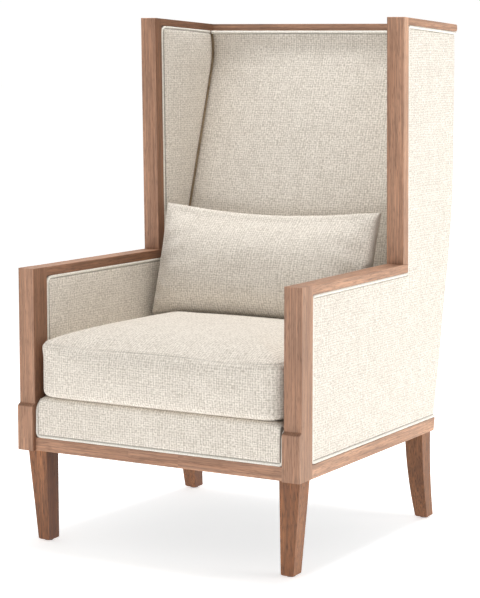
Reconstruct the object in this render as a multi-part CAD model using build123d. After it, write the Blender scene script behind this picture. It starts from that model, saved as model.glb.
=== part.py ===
from build123d import *
import os
from math import cos, pi, radians, sin, sqrt, tan

# A high wing chair with a show-wood frame, a loose seat cushion and a lumbar pillow.
# Millimetres. X is across the chair, Y runs from front to back, Z is up from the floor.
# Left and right are those of a person who faces the chair, so right is +X.
# While the pieces are drawn, Y = 0 is the front face of the front posts. The finished chair
# is moved along Y so that its origin is the middle of its footprint.

# Overall form
HALF_WIDTH = 356.0  # centre line to the outer face of a side, at the front
HEIGHT = 1158.0  # floor to the top of a wing stile
SIDE_TAPER = 1.4  # degrees that each side turns in towards the back
SIDE_THICK = 42.0  # thickness of an arm or wing, from outer to inner wood face
ARM_HEIGHT = 612.0  # floor to the top of an arm

# Seat rails and front posts
RAIL_BOTTOM = 209.0  # floor to the underside of the seat rails
SHOW_HEIGHT = 29.0  # height of the bare wood along the bottom of the seat
POST_DEPTH = 48.0
BLOCK_HEIGHT = 105.0  # height of the thicker foot of a front post
BLOCK_PROUD = 9.0
BLOCK_BEVEL = 6.0
BLOCK_ROUND = 3.0
SEAM_LEFT = -69.0  # joint between the left and middle lengths of the front rail
SEAM_RIGHT = 57.0  # joint between the middle and right lengths
BEAM_THICK = 24.0  # hidden beams of the seat and the back
BEAM_TOP = 313.0  # floor to the top of the front beam and the back rail
CORNER_LEG = 62.0  # length of a corner block along each rail
CORNER_HEIGHT = 42.0
EDGE_SOFT = 2.0  # rounding of the bare wood's long edges
FIT = 0.1  # gap between pieces that meet on sloping faces

# Arms and wings
ARM_RAIL_THICK = 20.0
STILE_FRONT = 487.0  # front face of a wing stile where it stands on the arm
STILE_LEAN = 10.0  # how far its top comes forward
STILE_DEPTH = 24.5
TOP_RAIL_THICK = 16.0
TOP_FALL = 16.0  # fall of the wing's top from the stile to the back
TOP_OVERHANG = 4.0  # top rails stand past the outside back
TOP_END_ROUND = 6.0

# Back of the chair, seen from the side: a raked line, an arc, then upright
REAR_FOOT = 664.0  # back face at the underside of the seat rails
REAR_RAKE = 11.2
REAR_BEND = 580.0  # height where the arc starts
REAR_RADIUS = 1450.0
BACK_POST_DEPTH = 45.0

# Legs
FRONT_LEG_INSET = 11.0  # outer face of the leg from the outer face of the post
FRONT_LEG_SETBACK = 15.0
FRONT_LEG_WIDTH = 49.0
FRONT_LEG_DEPTH = 44.0
FRONT_FOOT_WIDTH = 29.5
FRONT_FOOT_DEPTH = 36.0
BACK_LEG_INSET = 8.0
BACK_LEG_WIDTH = 43.5
BACK_FOOT_WIDTH = 30.0
BACK_LEG_SWELL = 2.5  # how far the inner face swells out of its taper at half height
BACK_LEG_SETBACK = 3.0  # rear edge of the leg's top from the back of the side rail
BACK_LEG_DEPTH = 46.0
BACK_FOOT_DEPTH = 33.0
BACK_LEG_SWEEP = 21.0  # how far the foot's rear edge lies behind the top's
BACK_LEG_BOW = 6.0  # hollow of the swept edges at half height
FOOT_CHAMFER = 2.5
GLIDE_DIAMETER = 20.0
GLIDE_HEIGHT = 3.0
BOLT_DIAMETER = 8.0
BOLT_LENGTH = 76.0
BOLT_IN_LEG = 38.0
BOLT_CLEARANCE = 0.2

# Upholstery of the sides
PANEL_RECESS = 2.5  # outside fabric below the wood's outer face
PANEL_THICK = 6.0
PAD_THICK = 13.0  # inside arm and wing pads, at their edges
ARM_CROWN = 3.0
WING_CROWN = 7.0  # at the wide top of the wing
WELT = 6.0  # width of the piping
WELT_DEEP = 7.0
WELT_FLAT = 0.3  # flat left along the crest of the piping
WELT_PROUD = 1.0  # piping past the fabric beside it
WELT_CORNER = 9.0  # rounding of a piped corner
TACK_RAIL_HEIGHT = 32.0

# Seat deck, apron and webbing
APRON_DEPTH = 24.0
APRON_ROUND = 11.0
APRON_SHOULDER = 22.0  # rounding of the apron's upper corners, seen from the front
DECK_THICK = 14.5
STRAP_THICK = 2.5
SEAT_STRAP_WIDTH = 55.0
SEAT_STRAPS = 7
BACK_STRAP_WIDTH = 60.0
BACK_STRAPS = 6
DUST_COVER_THICK = 1.0
DUST_COVER_GAP = 0.5  # round the legs

# Inside back
BACK_AT_DECK = 509.0  # inside back at its sides, at the height of the deck
BACK_ROLL_HEIGHT = 87.0  # height of the roll in which the rake ends under the crest rail
BACK_TUCK = 6.0  # where the roll starts, from the front of the crest rail
BACK_ROLL_PROUD = 8.0  # where the roll ends, from the front of the crest rail
BACK_CROWN = 36.0
BACK_CROWN_TOP = 7.0  # what is left of the crown at the top and at the deck
BACK_EDGE = 6.0  # thickness of the back pad at its sides
UPRIGHT_WIDTH = 25.0
UPRIGHT_DEPTH = 20.0
BACK_BEAM_HEIGHT = 40.0
BACK_SLACK = 4.5  # space between the uprights and the outside back

# Seat cushion
CUSHION_OVERHANG = 10.0  # front of the cushion past the front posts
CUSHION_GAP = 5.5  # sides of the cushion from the arms' wood faces
CUSHION_BACK_GAP = 1.0  # rear of the cushion from the foot of the inside back
CUSHION_EDGE = 124.0  # thickness at the edges
CUSHION_CROWN = 28.0
CUSHION_CORNER = 38.0
CUSHION_ROUND_LOW = 17.0
CUSHION_ROUND_HIGH = 24.0
CUSHION_DRAW = 4.0  # how far the sides draw in between the corners
CUSHION_BOW = 4.0  # how far the front swells
CUSHION_LIFT = 0.5  # gap under the cushion

# Lumbar pillow
PILLOW_END_GAP = 16.5  # ends of the pillow from the arms' wood faces
PILLOW_HEIGHT = 272.0
PILLOW_THICK = 160.0
PILLOW_DRAW = 20.0  # how far the long edges draw in between the corners
PILLOW_END_DRAW = 13.0
PILLOW_LEAN = 14.6
PILLOW_SHIFT = -5.0  # middle of the pillow from the chair's centre line
PILLOW_GAP = 0.5  # gap to the cushion under it and to the back behind it
PILLOW_EDGE = 108.0  # width of the band that swells from the seam

TAPER = radians(SIDE_TAPER)
RAKE = radians(REAR_RAKE)
SHOW_TOP = RAIL_BOTTOM + SHOW_HEIGHT
BLOCK_TOP = RAIL_BOTTOM + BLOCK_HEIGHT
ARM_UNDER = ARM_HEIGHT - ARM_RAIL_THICK
SIDE_RAIL_TOP = BEAM_TOP + STRAP_THICK
DECK_TOP = SIDE_RAIL_TOP + DECK_THICK
CUSHION_REAR = BACK_AT_DECK - BACK_CROWN_TOP - CUSHION_BACK_GAP
WELT_ROUND = (WELT - FIT - WELT_FLAT) / 2
BACK_BUILD = BACK_EDGE + STRAP_THICK + UPRIGHT_DEPTH  # pad, webbing and uprights together
CREST_DEPTH = TOP_OVERHANG + PANEL_THICK + BACK_SLACK + BACK_BUILD
FRAME_OUT = PANEL_RECESS + PANEL_THICK  # depth of the hidden frame's outer face
FRAME_IN = SIDE_THICK - PAD_THICK  # depth of the hidden frame's inner face
FAR = 2000.0  # reach of the cutting shapes
SETTLE_STEPS = 5  # moves in which a loose piece reaches its support
SETTLE_ROUNDS = 3  # times that it is let down and pushed back


def side_x(depth, y):
    """Half width at y of the plane that lies at a depth inside a side's outer face."""
    return HALF_WIDTH - depth / cos(TAPER) - y * tan(TAPER)


def side_slab(profile, outer, inner):
    """A (Y, Z) profile made solid between two depths of the right side, before the taper."""
    solid = extrude(Plane.YZ * profile, amount=inner - outer, dir=(1, 0, 0))
    return Pos(HALF_WIDTH - inner, 0, 0) * solid


def to_side(shape):
    """Turn a piece of the right side about the chair's front corner into the taper."""
    return Pos(HALF_WIDTH, 0, 0) * Rot(0, 0, SIDE_TAPER) * Pos(-HALF_WIDTH, 0, 0) * shape


def cross_plan(depth, front, rear):
    """Plan of a piece that spans from side to side between two depths' planes."""
    near = side_x(depth, front)
    away = side_x(depth, rear)
    return Polygon((-near, front), (near, front), (away, rear), (-away, rear), align=None)


def cross_block(depth, front, rear, low, high):
    """A beam from side to side."""
    return Pos(0, 0, low) * extrude(cross_plan(depth, front, rear), amount=high - low)


def across(profile, depth):
    """A (Y, Z) profile made solid across the chair, up to the planes at a depth of both sides."""
    bar = extrude(Plane.YZ * profile, amount=HALF_WIDTH, both=True)
    return bar & cross_block(depth, -FAR, FAR, 0, FAR)


def rear_arc_centre():
    """Centre of the arc in the chair's back line, as (Y, Z)."""
    start = REAR_FOOT + (REAR_BEND - RAIL_BOTTOM) * tan(RAKE)
    return start - REAR_RADIUS * cos(RAKE), REAR_BEND + REAR_RADIUS * sin(RAKE)


def rear_y(z, inset=0.0):
    """The chair's back line at a height, moved forward by an inset."""
    centre_y, centre_z = rear_arc_centre()
    radius = REAR_RADIUS - inset
    bend = centre_z - radius * sin(RAKE)
    if z >= centre_z:
        return centre_y + radius
    if z >= bend:
        return centre_y + sqrt(radius**2 - (centre_z - z) ** 2)
    return centre_y + radius * cos(RAKE) - (bend - z) * tan(RAKE)


def rear_curve(inset, low, high):
    """The chair's back line between two heights, from the bottom to the top."""
    centre_y, centre_z = rear_arc_centre()
    radius = REAR_RADIUS - inset
    points = [(centre_y + radius * cos(turn), centre_z - radius * sin(turn)) for turn in (RAKE, RAKE / 2, 0)]
    foot = Line((rear_y(low, inset), low), points[0])
    return foot + ThreePointArc(*points) + Line(points[2], (points[2][0], high))


STILE_TOP_FRONT = STILE_FRONT - STILE_LEAN
STILE_SLOPE = STILE_LEAN / (HEIGHT - ARM_HEIGHT)
TOP_END = rear_y(HEIGHT) + TOP_OVERHANG


def stile_front(z):
    """Front face of a wing stile at a height."""
    return STILE_FRONT - (z - ARM_HEIGHT) * STILE_SLOPE


def stile_rear(z):
    """Rear face of a wing stile at a height."""
    return stile_front(z) + STILE_DEPTH


def wing_top(y):
    """Height of the wing's top edge at y."""
    return HEIGHT - TOP_FALL * (y - STILE_TOP_FRONT) / (TOP_END - STILE_TOP_FRONT)


def wing_under(y):
    """Height of the underside of the wing's top rail at y."""
    return wing_top(y) - TOP_RAIL_THICK


def stile_meets(drop):
    """Where the stile's rear face meets a line that lies a drop below the wing's top edge."""
    fall = TOP_FALL / (TOP_END - STILE_TOP_FRONT)
    level = HEIGHT - drop + fall * STILE_TOP_FRONT
    y = (stile_rear(ARM_HEIGHT) + STILE_SLOPE * (ARM_HEIGHT - level)) / (1 - STILE_SLOPE * fall)
    return y, level - fall * y


CREST_FRONT = TOP_END - CREST_DEPTH
BACK_TOP = wing_under(CREST_FRONT)
BACK_ROLL_START = BACK_TOP - BACK_ROLL_HEIGHT
BACK_LEAN = (CREST_FRONT - BACK_TUCK - BACK_AT_DECK) / (BACK_ROLL_START - DECK_TOP)


def crease_y(z):
    """Front of the inside back at its sides: raked, then rolled forward under the crest."""
    raked = BACK_AT_DECK + (min(z, BACK_ROLL_START) - DECK_TOP) * BACK_LEAN
    if z <= BACK_ROLL_START:
        return raked
    share = (z - BACK_ROLL_START) / BACK_ROLL_HEIGHT
    rise = BACK_LEAN * BACK_ROLL_HEIGHT
    return raked + rise * share * (1 - share) + (BACK_TUCK - BACK_ROLL_PROUD) * share**2


def offset_run(points, width):
    """An open run of (u, v) points moved to its left by a width, with mitred corners."""
    runs = [Vector(*b) - Vector(*a) for a, b in zip(points, points[1:])]
    normals = [Vector(-run.Y, run.X).normalized() for run in runs]
    moved = []
    for index, point in enumerate(points):
        before = normals[max(index - 1, 0)]
        after = normals[min(index, len(normals) - 1)]
        middle = (before + after).normalized()
        place = Vector(*point) + middle * (width / middle.dot(after))
        moved.append((place.X, place.Y))
    return moved


def welt_band(points):
    """The flat band that piping covers along the left of a run of wood edges."""
    near = offset_run(points, FIT)
    away = offset_run(points, WELT)
    return Polygon(*near, *reversed(away), align=None)


def front_post():
    """A front post: one timber with a thicker foot, bevelled where it meets the post."""
    profile = Polygon(
        (POST_DEPTH, RAIL_BOTTOM),
        (POST_DEPTH, ARM_HEIGHT),
        (0, ARM_HEIGHT),
        (0, BLOCK_TOP),
        (-BLOCK_PROUD, BLOCK_TOP - BLOCK_BEVEL),
        (-BLOCK_PROUD, RAIL_BOTTOM),
        align=None,
    )
    shoulder = profile.vertices().sort_by(Axis.X)[:2].sort_by(Axis.Y)[-1]
    post = side_slab(fillet(shoulder, BLOCK_ROUND), 0, SIDE_THICK)
    long_edges = post.edges().filter_by(Axis.Z).filter_by_position(Axis.Y, -BLOCK_PROUD, 0)
    return fillet(long_edges, EDGE_SOFT) - bolt_hole(front_bolt_place())


def front_bolt_place():
    """(X, Y) of the bolt between a front leg and its post, before the taper."""
    return HALF_WIDTH - (FRONT_LEG_INSET + SIDE_THICK) / 2, (FRONT_LEG_SETBACK + POST_DEPTH) / 2


def front_glide_place():
    """(X, Y) of the middle of a front leg's foot, before the taper."""
    inner = FRONT_LEG_INSET + FRONT_LEG_WIDTH
    rear = FRONT_LEG_SETBACK + FRONT_LEG_DEPTH
    return HALF_WIDTH - inner + FRONT_FOOT_WIDTH / 2, rear - FRONT_FOOT_DEPTH / 2


def back_leg_top():
    """Y of the front and rear edges of a back leg's top."""
    rear = REAR_FOOT - BACK_LEG_SETBACK
    return rear - BACK_LEG_DEPTH, rear


def back_bolt_place():
    """(X, Y) of the bolt in a back leg's top, before the taper."""
    return HALF_WIDTH - (BACK_LEG_INSET + FRAME_IN) / 2, sum(back_leg_top()) / 2


def bolt_hole(place):
    """The drilled hole of a leg bolt."""
    low = RAIL_BOTTOM - BOLT_IN_LEG
    drill = Cylinder(
        BOLT_DIAMETER / 2 + BOLT_CLEARANCE, BOLT_LENGTH, align=(Align.CENTER, Align.CENTER, Align.MIN)
    )
    return Pos(*place, low) * drill


def leg_bolt(place):
    """A hanger bolt between a leg and the frame."""
    low = RAIL_BOTTOM - BOLT_IN_LEG
    shank = Cylinder(BOLT_DIAMETER / 2, BOLT_LENGTH, align=(Align.CENTER, Align.CENTER, Align.MIN))
    return Pos(*place, low) * shank


def front_leg():
    """A front leg that tapers on its front and outer faces only."""
    inner = HALF_WIDTH - FRONT_LEG_INSET - FRONT_LEG_WIDTH
    rear = FRONT_LEG_SETBACK + FRONT_LEG_DEPTH
    side = Polygon(
        (FRONT_LEG_SETBACK, RAIL_BOTTOM),
        (rear, RAIL_BOTTOM),
        (rear, GLIDE_HEIGHT),
        (rear - FRONT_FOOT_DEPTH, GLIDE_HEIGHT),
        align=None,
    )
    face = Polygon(
        (inner, RAIL_BOTTOM),
        (inner + FRONT_LEG_WIDTH, RAIL_BOTTOM),
        (inner + FRONT_FOOT_WIDTH, GLIDE_HEIGHT),
        (inner, GLIDE_HEIGHT),
        align=None,
    )
    leg = side_slab(side, FRONT_LEG_INSET, FRONT_LEG_INSET + FRONT_LEG_WIDTH)
    leg &= extrude(Plane.XZ * face, amount=FAR, dir=(0, 1, 0))
    leg = chamfer(leg.faces().sort_by(Axis.Z)[0].edges(), FOOT_CHAMFER)
    return leg - bolt_hole(front_bolt_place())


def back_leg():
    """A back leg whose front and rear edges sweep backwards in arcs and whose inner face tapers."""
    front, rear = back_leg_top()
    foot_rear = rear + BACK_LEG_SWEEP
    foot_front = foot_rear - BACK_FOOT_DEPTH
    middle = (GLIDE_HEIGHT + RAIL_BOTTOM) / 2
    front_arc = ThreePointArc(
        (front, RAIL_BOTTOM), ((front + foot_front) / 2 - BACK_LEG_BOW, middle), (foot_front, GLIDE_HEIGHT)
    )
    rear_arc = ThreePointArc(
        (foot_rear, GLIDE_HEIGHT), ((rear + foot_rear) / 2 - BACK_LEG_BOW, middle), (rear, RAIL_BOTTOM)
    )
    outline = front_arc + Line(front_arc @ 1, rear_arc @ 0) + rear_arc + Line(rear_arc @ 1, front_arc @ 0)
    outer = HALF_WIDTH - BACK_LEG_INSET
    mean_width = (BACK_LEG_WIDTH + BACK_FOOT_WIDTH) / 2
    inner_arc = ThreePointArc(
        (outer - BACK_LEG_WIDTH, RAIL_BOTTOM),
        (outer - mean_width - BACK_LEG_SWELL, middle),
        (outer - BACK_FOOT_WIDTH, GLIDE_HEIGHT),
    )
    flank = Polyline(inner_arc @ 1, (outer, GLIDE_HEIGHT), (outer, RAIL_BOTTOM), inner_arc @ 0)
    leg = side_slab(make_face(outline), BACK_LEG_INSET, BACK_LEG_INSET + BACK_LEG_WIDTH)
    leg &= extrude(Plane.XZ * make_face(inner_arc + flank), amount=FAR, dir=(0, 1, 0))
    leg = chamfer(leg.faces().sort_by(Axis.Z)[0].edges(), FOOT_CHAMFER)
    return leg - bolt_hole(back_bolt_place())


def glide(x, y):
    """A nail-on glide under a leg."""
    disc = Cylinder(GLIDE_DIAMETER / 2, GLIDE_HEIGHT, align=(Align.CENTER, Align.CENTER, Align.MIN))
    return Pos(x, y, 0) * chamfer(disc.edges().sort_by(Axis.Z)[0], GLIDE_HEIGHT / 3)


def back_glide_place():
    """(X, Y) of the middle of a back leg's foot, before the taper."""
    foot = back_leg_top()[1] + BACK_LEG_SWEEP - BACK_FOOT_DEPTH / 2
    return HALF_WIDTH - BACK_LEG_INSET - BACK_FOOT_WIDTH / 2, foot


def arm_rail():
    """An arm rail, from the post to the rear face of the wing stile that stands on it."""
    end = stile_rear(ARM_HEIGHT)
    profile = Polygon(
        (POST_DEPTH, ARM_UNDER), (end, ARM_UNDER), (end, ARM_HEIGHT), (POST_DEPTH, ARM_HEIGHT), align=None
    )
    rail = side_slab(profile, 0, SIDE_THICK)
    return fillet(rail.edges().filter_by(Axis.Y).group_by(Axis.Z)[-1], EDGE_SOFT)


def wing_stile():
    """The upright board at the front of a wing."""
    profile = Polygon(
        (stile_front(ARM_HEIGHT), ARM_HEIGHT),
        (stile_rear(ARM_HEIGHT), ARM_HEIGHT),
        stile_meets(0),
        (stile_front(HEIGHT), HEIGHT),
        align=None,
    )
    stile = side_slab(profile, 0, SIDE_THICK)
    front = stile.faces().sort_by(Axis.Y)[0]
    return fillet(front.edges().sort_by(Axis.Z)[1:], EDGE_SOFT)


def wing_top_rail():
    """The rail along the top of a wing, rounded at its rear end."""
    profile = Polygon(
        stile_meets(TOP_RAIL_THICK),
        (TOP_END, wing_under(TOP_END)),
        (TOP_END, wing_top(TOP_END)),
        stile_meets(0),
        align=None,
    )
    ends = profile.vertices().sort_by(Axis.X)[-2:]
    return side_slab(fillet(ends, TOP_END_ROUND), 0, SIDE_THICK)


def crest_rail():
    """The rail across the top of the back, between the wing top rails."""
    profile = Polygon(
        (CREST_FRONT, wing_under(CREST_FRONT)),
        (TOP_END, wing_under(TOP_END)),
        (TOP_END, wing_top(TOP_END)),
        (CREST_FRONT, wing_top(CREST_FRONT)),
        align=None,
    )
    ends = profile.vertices().sort_by(Axis.X)[-2:]
    return across(fillet(ends, TOP_END_ROUND), SIDE_THICK)


def side_rail():
    """A side seat rail: bare wood below, rebated above for the outside panel."""
    show = Polygon(
        (POST_DEPTH, RAIL_BOTTOM),
        (rear_y(RAIL_BOTTOM), RAIL_BOTTOM),
        (rear_y(SHOW_TOP), SHOW_TOP),
        (POST_DEPTH, SHOW_TOP),
        align=None,
    )
    hidden = Polygon(
        (POST_DEPTH, SHOW_TOP),
        (rear_y(SHOW_TOP, PANEL_THICK), SHOW_TOP),
        (rear_y(SIDE_RAIL_TOP, PANEL_THICK), SIDE_RAIL_TOP),
        (POST_DEPTH, SIDE_RAIL_TOP),
        align=None,
    )
    show_wood = side_slab(show, 0, FRAME_IN)
    end = show_wood.faces().sort_by(Axis.Y)[-1].edges().sort_by(Axis.X)[-1]
    rail = fillet(end, EDGE_SOFT) + side_slab(hidden, FRAME_OUT, FRAME_IN)
    return rail - bolt_hole(back_bolt_place())


def front_rail_lengths():
    """The three lengths of the bare front rail, joined end to end."""
    whole = cross_block(SIDE_THICK, 0, APRON_DEPTH, RAIL_BOTTOM, SHOW_TOP)
    cuts = (-FAR, SEAM_LEFT, SEAM_RIGHT, FAR)
    lengths = []
    for left, right in zip(cuts, cuts[1:]):
        window = Pos(left, 0, RAIL_BOTTOM) * Box(
            right - left, FAR, FAR, align=(Align.MIN, Align.CENTER, Align.MIN)
        )
        lengths.append(whole & window)
    return lengths


def back_rail():
    """The back seat rail, bare below and rebated above like the side rails."""
    front = rear_y(RAIL_BOTTOM, PANEL_THICK) - BEAM_THICK
    profile = Polygon(
        (front, RAIL_BOTTOM),
        (rear_y(RAIL_BOTTOM), RAIL_BOTTOM),
        (rear_y(SHOW_TOP), SHOW_TOP),
        (rear_y(SHOW_TOP, PANEL_THICK), SHOW_TOP),
        (rear_y(BEAM_TOP, PANEL_THICK), BEAM_TOP),
        (front, BEAM_TOP),
        align=None,
    )
    return across(profile, FRAME_IN)


def corner_block(at_front):
    """A triangular block in a right-hand corner of the seat frame."""
    if at_front:
        wall = POST_DEPTH
        reach = wall + CORNER_LEG
    else:
        wall = rear_y(RAIL_BOTTOM, PANEL_THICK) - BEAM_THICK
        reach = wall - CORNER_LEG
    corner = side_x(FRAME_IN, wall)
    plan = Polygon((corner, wall), (corner - CORNER_LEG, wall), (side_x(FRAME_IN, reach), reach), align=None)
    return Pos(0, 0, RAIL_BOTTOM) * extrude(plan, amount=CORNER_HEIGHT, dir=(0, 0, 1))


def back_post():
    """A hidden post that follows the chair's back line inside a side."""
    front = PANEL_THICK + BACK_POST_DEPTH
    high_rear = wing_under(rear_y(HEIGHT, PANEL_THICK))
    high_front = wing_under(rear_y(HEIGHT, front))
    rear = rear_curve(PANEL_THICK, SIDE_RAIL_TOP, high_rear)
    inner = rear_curve(front, SIDE_RAIL_TOP, high_front)
    foot = Line((rear_y(SIDE_RAIL_TOP, front), SIDE_RAIL_TOP), (rear_y(SIDE_RAIL_TOP, PANEL_THICK), SIDE_RAIL_TOP))
    head = Line((rear_y(HEIGHT, PANEL_THICK), high_rear), (rear_y(HEIGHT, front), high_front))
    return side_slab(make_face(foot + rear + head + inner), FRAME_OUT, FRAME_IN)


def between_stile_and_post(low, high, start):
    """A hidden rail of a side that ends on the front edge of the back post."""
    inset = PANEL_THICK + BACK_POST_DEPTH
    profile = Polygon((start, low), (rear_y(low, inset), low), (rear_y(high, inset), high), (start, high), align=None)
    return side_slab(profile, FRAME_OUT, FRAME_IN)


def back_upright():
    """A raked upright that carries the back webbing, against the inside of a side's frame."""
    low = DECK_TOP + BACK_BEAM_HEIGHT
    high = BACK_TOP - BACK_BEAM_HEIGHT
    levels = [low, BACK_ROLL_START, (BACK_ROLL_START + high) / 2, high]
    face = [(crease_y(z) + BACK_EDGE + STRAP_THICK, z) for z in levels]
    rear = [(y + UPRIGHT_DEPTH, z) for y, z in reversed(face)]
    bar = across(Polygon(*face, *rear, align=None), FRAME_IN)
    pair = bar - cross_block(FRAME_IN + UPRIGHT_WIDTH, -FAR, FAR, 0, FAR)
    return pair.solids().sort_by(Axis.X)[-1]


def back_beam_low():
    """The beam at the foot of the back frame, in line with the uprights."""
    levels = (DECK_TOP, DECK_TOP + BACK_BEAM_HEIGHT)
    face = [(crease_y(z) + BACK_EDGE + STRAP_THICK, z) for z in levels]
    rear = [(y + UPRIGHT_DEPTH, z) for y, z in reversed(face)]
    return across(Polygon(*face, *rear, align=None), FRAME_IN)


def back_beam_high():
    """The beam under the crest rail, on top of the uprights."""
    rear = rear_y(HEIGHT, PANEL_THICK)
    front = CREST_FRONT + BACK_EDGE + STRAP_THICK
    low = BACK_TOP - BACK_BEAM_HEIGHT
    high_rear = wing_under(rear) - FIT
    high_front = wing_under(front) - FIT
    profile = Polygon((front, low), (rear, low), (rear, high_rear), (front, high_front), align=None)
    return across(profile, FRAME_IN)


def back_webbing():
    """Elastic straps across the raked uprights."""
    low = DECK_TOP + BACK_BEAM_HEIGHT
    pitch = (BACK_ROLL_START - low) / BACK_STRAPS
    straps = []
    for index in range(BACK_STRAPS):
        base = low + pitch * (index + 0.5) - BACK_STRAP_WIDTH / 2
        levels = (base, base + BACK_STRAP_WIDTH)
        face = [(crease_y(z) + BACK_EDGE, z) for z in levels]
        rear = [(y + STRAP_THICK, z) for y, z in reversed(face)]
        straps += across(Polygon(*face, *rear, align=None), SIDE_THICK).solids()
    return Compound(straps)


def seat_webbing():
    """Elastic straps from the front beam to the back rail."""
    start = APRON_DEPTH
    end = rear_y(BEAM_TOP, PANEL_THICK)
    span = 2 * side_x(FRAME_IN, end) - SEAT_STRAP_WIDTH
    pitch = span / SEAT_STRAPS
    straps = []
    for index in range(SEAT_STRAPS):
        place = pitch * (index - (SEAT_STRAPS - 1) / 2)
        strap = Box(SEAT_STRAP_WIDTH, end - start, STRAP_THICK, align=(Align.CENTER, Align.MIN, Align.MIN))
        straps.append(Pos(place, start, BEAM_TOP) * strap)
    return Compound(straps)


def seat_deck():
    """The padded platform under the cushion, notched round the front posts."""
    rear = crease_y(DECK_TOP) + BACK_BUILD
    wide = cross_block(FRAME_IN, POST_DEPTH, rear, SIDE_RAIL_TOP, DECK_TOP)
    nose = cross_block(SIDE_THICK, APRON_DEPTH, POST_DEPTH, SIDE_RAIL_TOP, DECK_TOP)
    return wide + nose


def apron_half():
    """Half width between the front posts, at the back of the apron."""
    return side_x(SIDE_THICK, APRON_DEPTH)


def front_apron():
    """The upholstered front of the seat, rolled over at its top."""
    half = apron_half() - WELT
    low = SHOW_TOP + WELT
    face = Polygon((-half, low), (half, low), (half, DECK_TOP), (-half, DECK_TOP), align=None)
    face = fillet(face.vertices().sort_by(Axis.Y)[-2:], APRON_SHOULDER)
    body = extrude(Plane.XZ * face, amount=APRON_DEPTH, dir=(0, 1, 0))
    front = body.faces().sort_by(Axis.Y)[0]
    return fillet(front.edges().sort_by(Axis.Z)[-3:], APRON_ROUND)


def apron_welt():
    """Piping along the sides and the bottom of the apron."""
    half = apron_half()
    top = DECK_TOP - APRON_SHOULDER
    band = welt_band([(-half, top), (-half, SHOW_TOP), (half, SHOW_TOP), (half, top)])
    piping = Pos(0, -WELT_PROUD, 0) * extrude(Plane.XZ * band, amount=WELT_DEEP, dir=(0, 1, 0))
    crest = piping.faces().sort_by(Axis.Y)[0]
    return fillet(crest.edges(), WELT_ROUND)


def outside_border():
    """The wood edges round an outside panel, from the seat's back corner to the wing's."""
    return [
        (rear_y(SHOW_TOP), SHOW_TOP),
        (POST_DEPTH, SHOW_TOP),
        (POST_DEPTH, ARM_UNDER),
        (stile_rear(ARM_UNDER), ARM_UNDER),
        stile_meets(TOP_RAIL_THICK),
        (rear_y(HEIGHT), wing_under(rear_y(HEIGHT))),
    ]


def outside_panel():
    """The L-shaped upholstered panel on the outside of an arm and wing."""
    points = offset_run(outside_border()[::-1], WELT)[::-1]
    low = points[0][1]
    high = wing_under(rear_y(HEIGHT)) - WELT
    points[0] = (rear_y(low), low)
    points[-1] = (rear_y(high), high)
    outline = Polyline(*points) + rear_curve(0, low, high)
    return side_slab(make_face(outline), PANEL_RECESS, FRAME_OUT)


def outside_welt():
    """Piping along the wood borders of an outside panel."""
    band = welt_band(outside_border()[::-1])
    piping = side_slab(band, PANEL_RECESS - WELT_PROUD, FRAME_OUT)
    crest = piping.faces().sort_by(Axis.X)[-1]
    return fillet(crest.edges(), WELT_ROUND)


def arm_border():
    """The wood edges that frame the inside of an arm, from the back to the deck."""
    end = crease_y(ARM_UNDER - WELT) - FIT
    return [(end, ARM_UNDER), (POST_DEPTH, ARM_UNDER), (POST_DEPTH, DECK_TOP)]


def wing_border():
    """The wood edges that frame the inside of a wing, from the back to the arm."""
    end = back_welt_front() - FIT
    return [(end, wing_under(end)), stile_meets(TOP_RAIL_THICK), (stile_rear(ARM_UNDER), ARM_UNDER)]


def inside_piping(border):
    """Piping along a border, rounded at its corner, with a crest that faces the seat."""
    band = welt_band(border)
    corner = offset_run(border, WELT)[1]
    inner = band.vertices().sort_by_distance((*corner, 0))[0]
    piping = side_slab(fillet(inner, WELT_CORNER), SIDE_THICK - WELT_DEEP, SIDE_THICK + WELT_PROUD)
    crest = piping.faces().sort_by(Axis.X)[0]
    return fillet(crest.edges(), WELT_ROUND)


def inside_view(border, levels):
    """Side view of the pad inside a border, down to the back's crease at some heights."""
    top, corner, foot = offset_run(border, WELT)
    crease = [(crease_y(z) + BACK_EDGE, z) for z in levels]
    end = crease_y(top[1]) + BACK_EDGE
    slope = (top[1] - corner[1]) / (top[0] - corner[0])
    crease.append((end, corner[1] + slope * (end - corner[0])))
    outline = Polygon(corner, foot, *crease, align=None)
    inner = outline.vertices().sort_by_distance((*corner, 0))[0]
    return fillet(inner, WELT_CORNER)


def crowned_plan(start, end, crown, rear):
    """Plan of a pad's block before it is cut: swelled between two Y places, flat past them."""
    inner = HALF_WIDTH - SIDE_THICK
    outer = HALF_WIDTH
    front = start - PAD_THICK
    swell = ThreePointArc((inner, start), (inner - crown, (start + end) / 2), (inner, end))
    frame = Polyline((inner, end), (inner, rear), (outer, rear), (outer, front), (inner, front), (inner, start))
    return make_face(swell + frame)


def arm_pad():
    """The pad inside an arm, crowned between the post and the inside back."""
    flat = crease_y(DECK_TOP) - BACK_CROWN
    plan = crowned_plan(POST_DEPTH, flat, ARM_CROWN, TOP_END)
    body = extrude(plan, amount=ARM_HEIGHT, dir=(0, 0, 1))
    side_view = inside_view(arm_border(), [DECK_TOP])
    return body & side_slab(side_view, FRAME_IN, SIDE_THICK + 2 * ARM_CROWN)


def wing_pad():
    """The pad inside a wing, whose crown widens with the wing towards the top."""
    sections = []
    widest = crease_y(BACK_TOP) - stile_rear(HEIGHT)
    for z in (ARM_UNDER - PAD_THICK, HEIGHT):
        front = stile_rear(z)
        rear = crease_y(min(z, BACK_TOP))
        plan = crowned_plan(front, rear, WING_CROWN * (rear - front) / widest, TOP_END)
        sections.append(Pos(0, 0, z) * plan)
    side_view = inside_view(wing_border(), [ARM_UNDER, BACK_ROLL_START])
    return loft(sections, ruled=True) & side_slab(side_view, FRAME_IN, SIDE_THICK + 2 * WING_CROWN)


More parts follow.
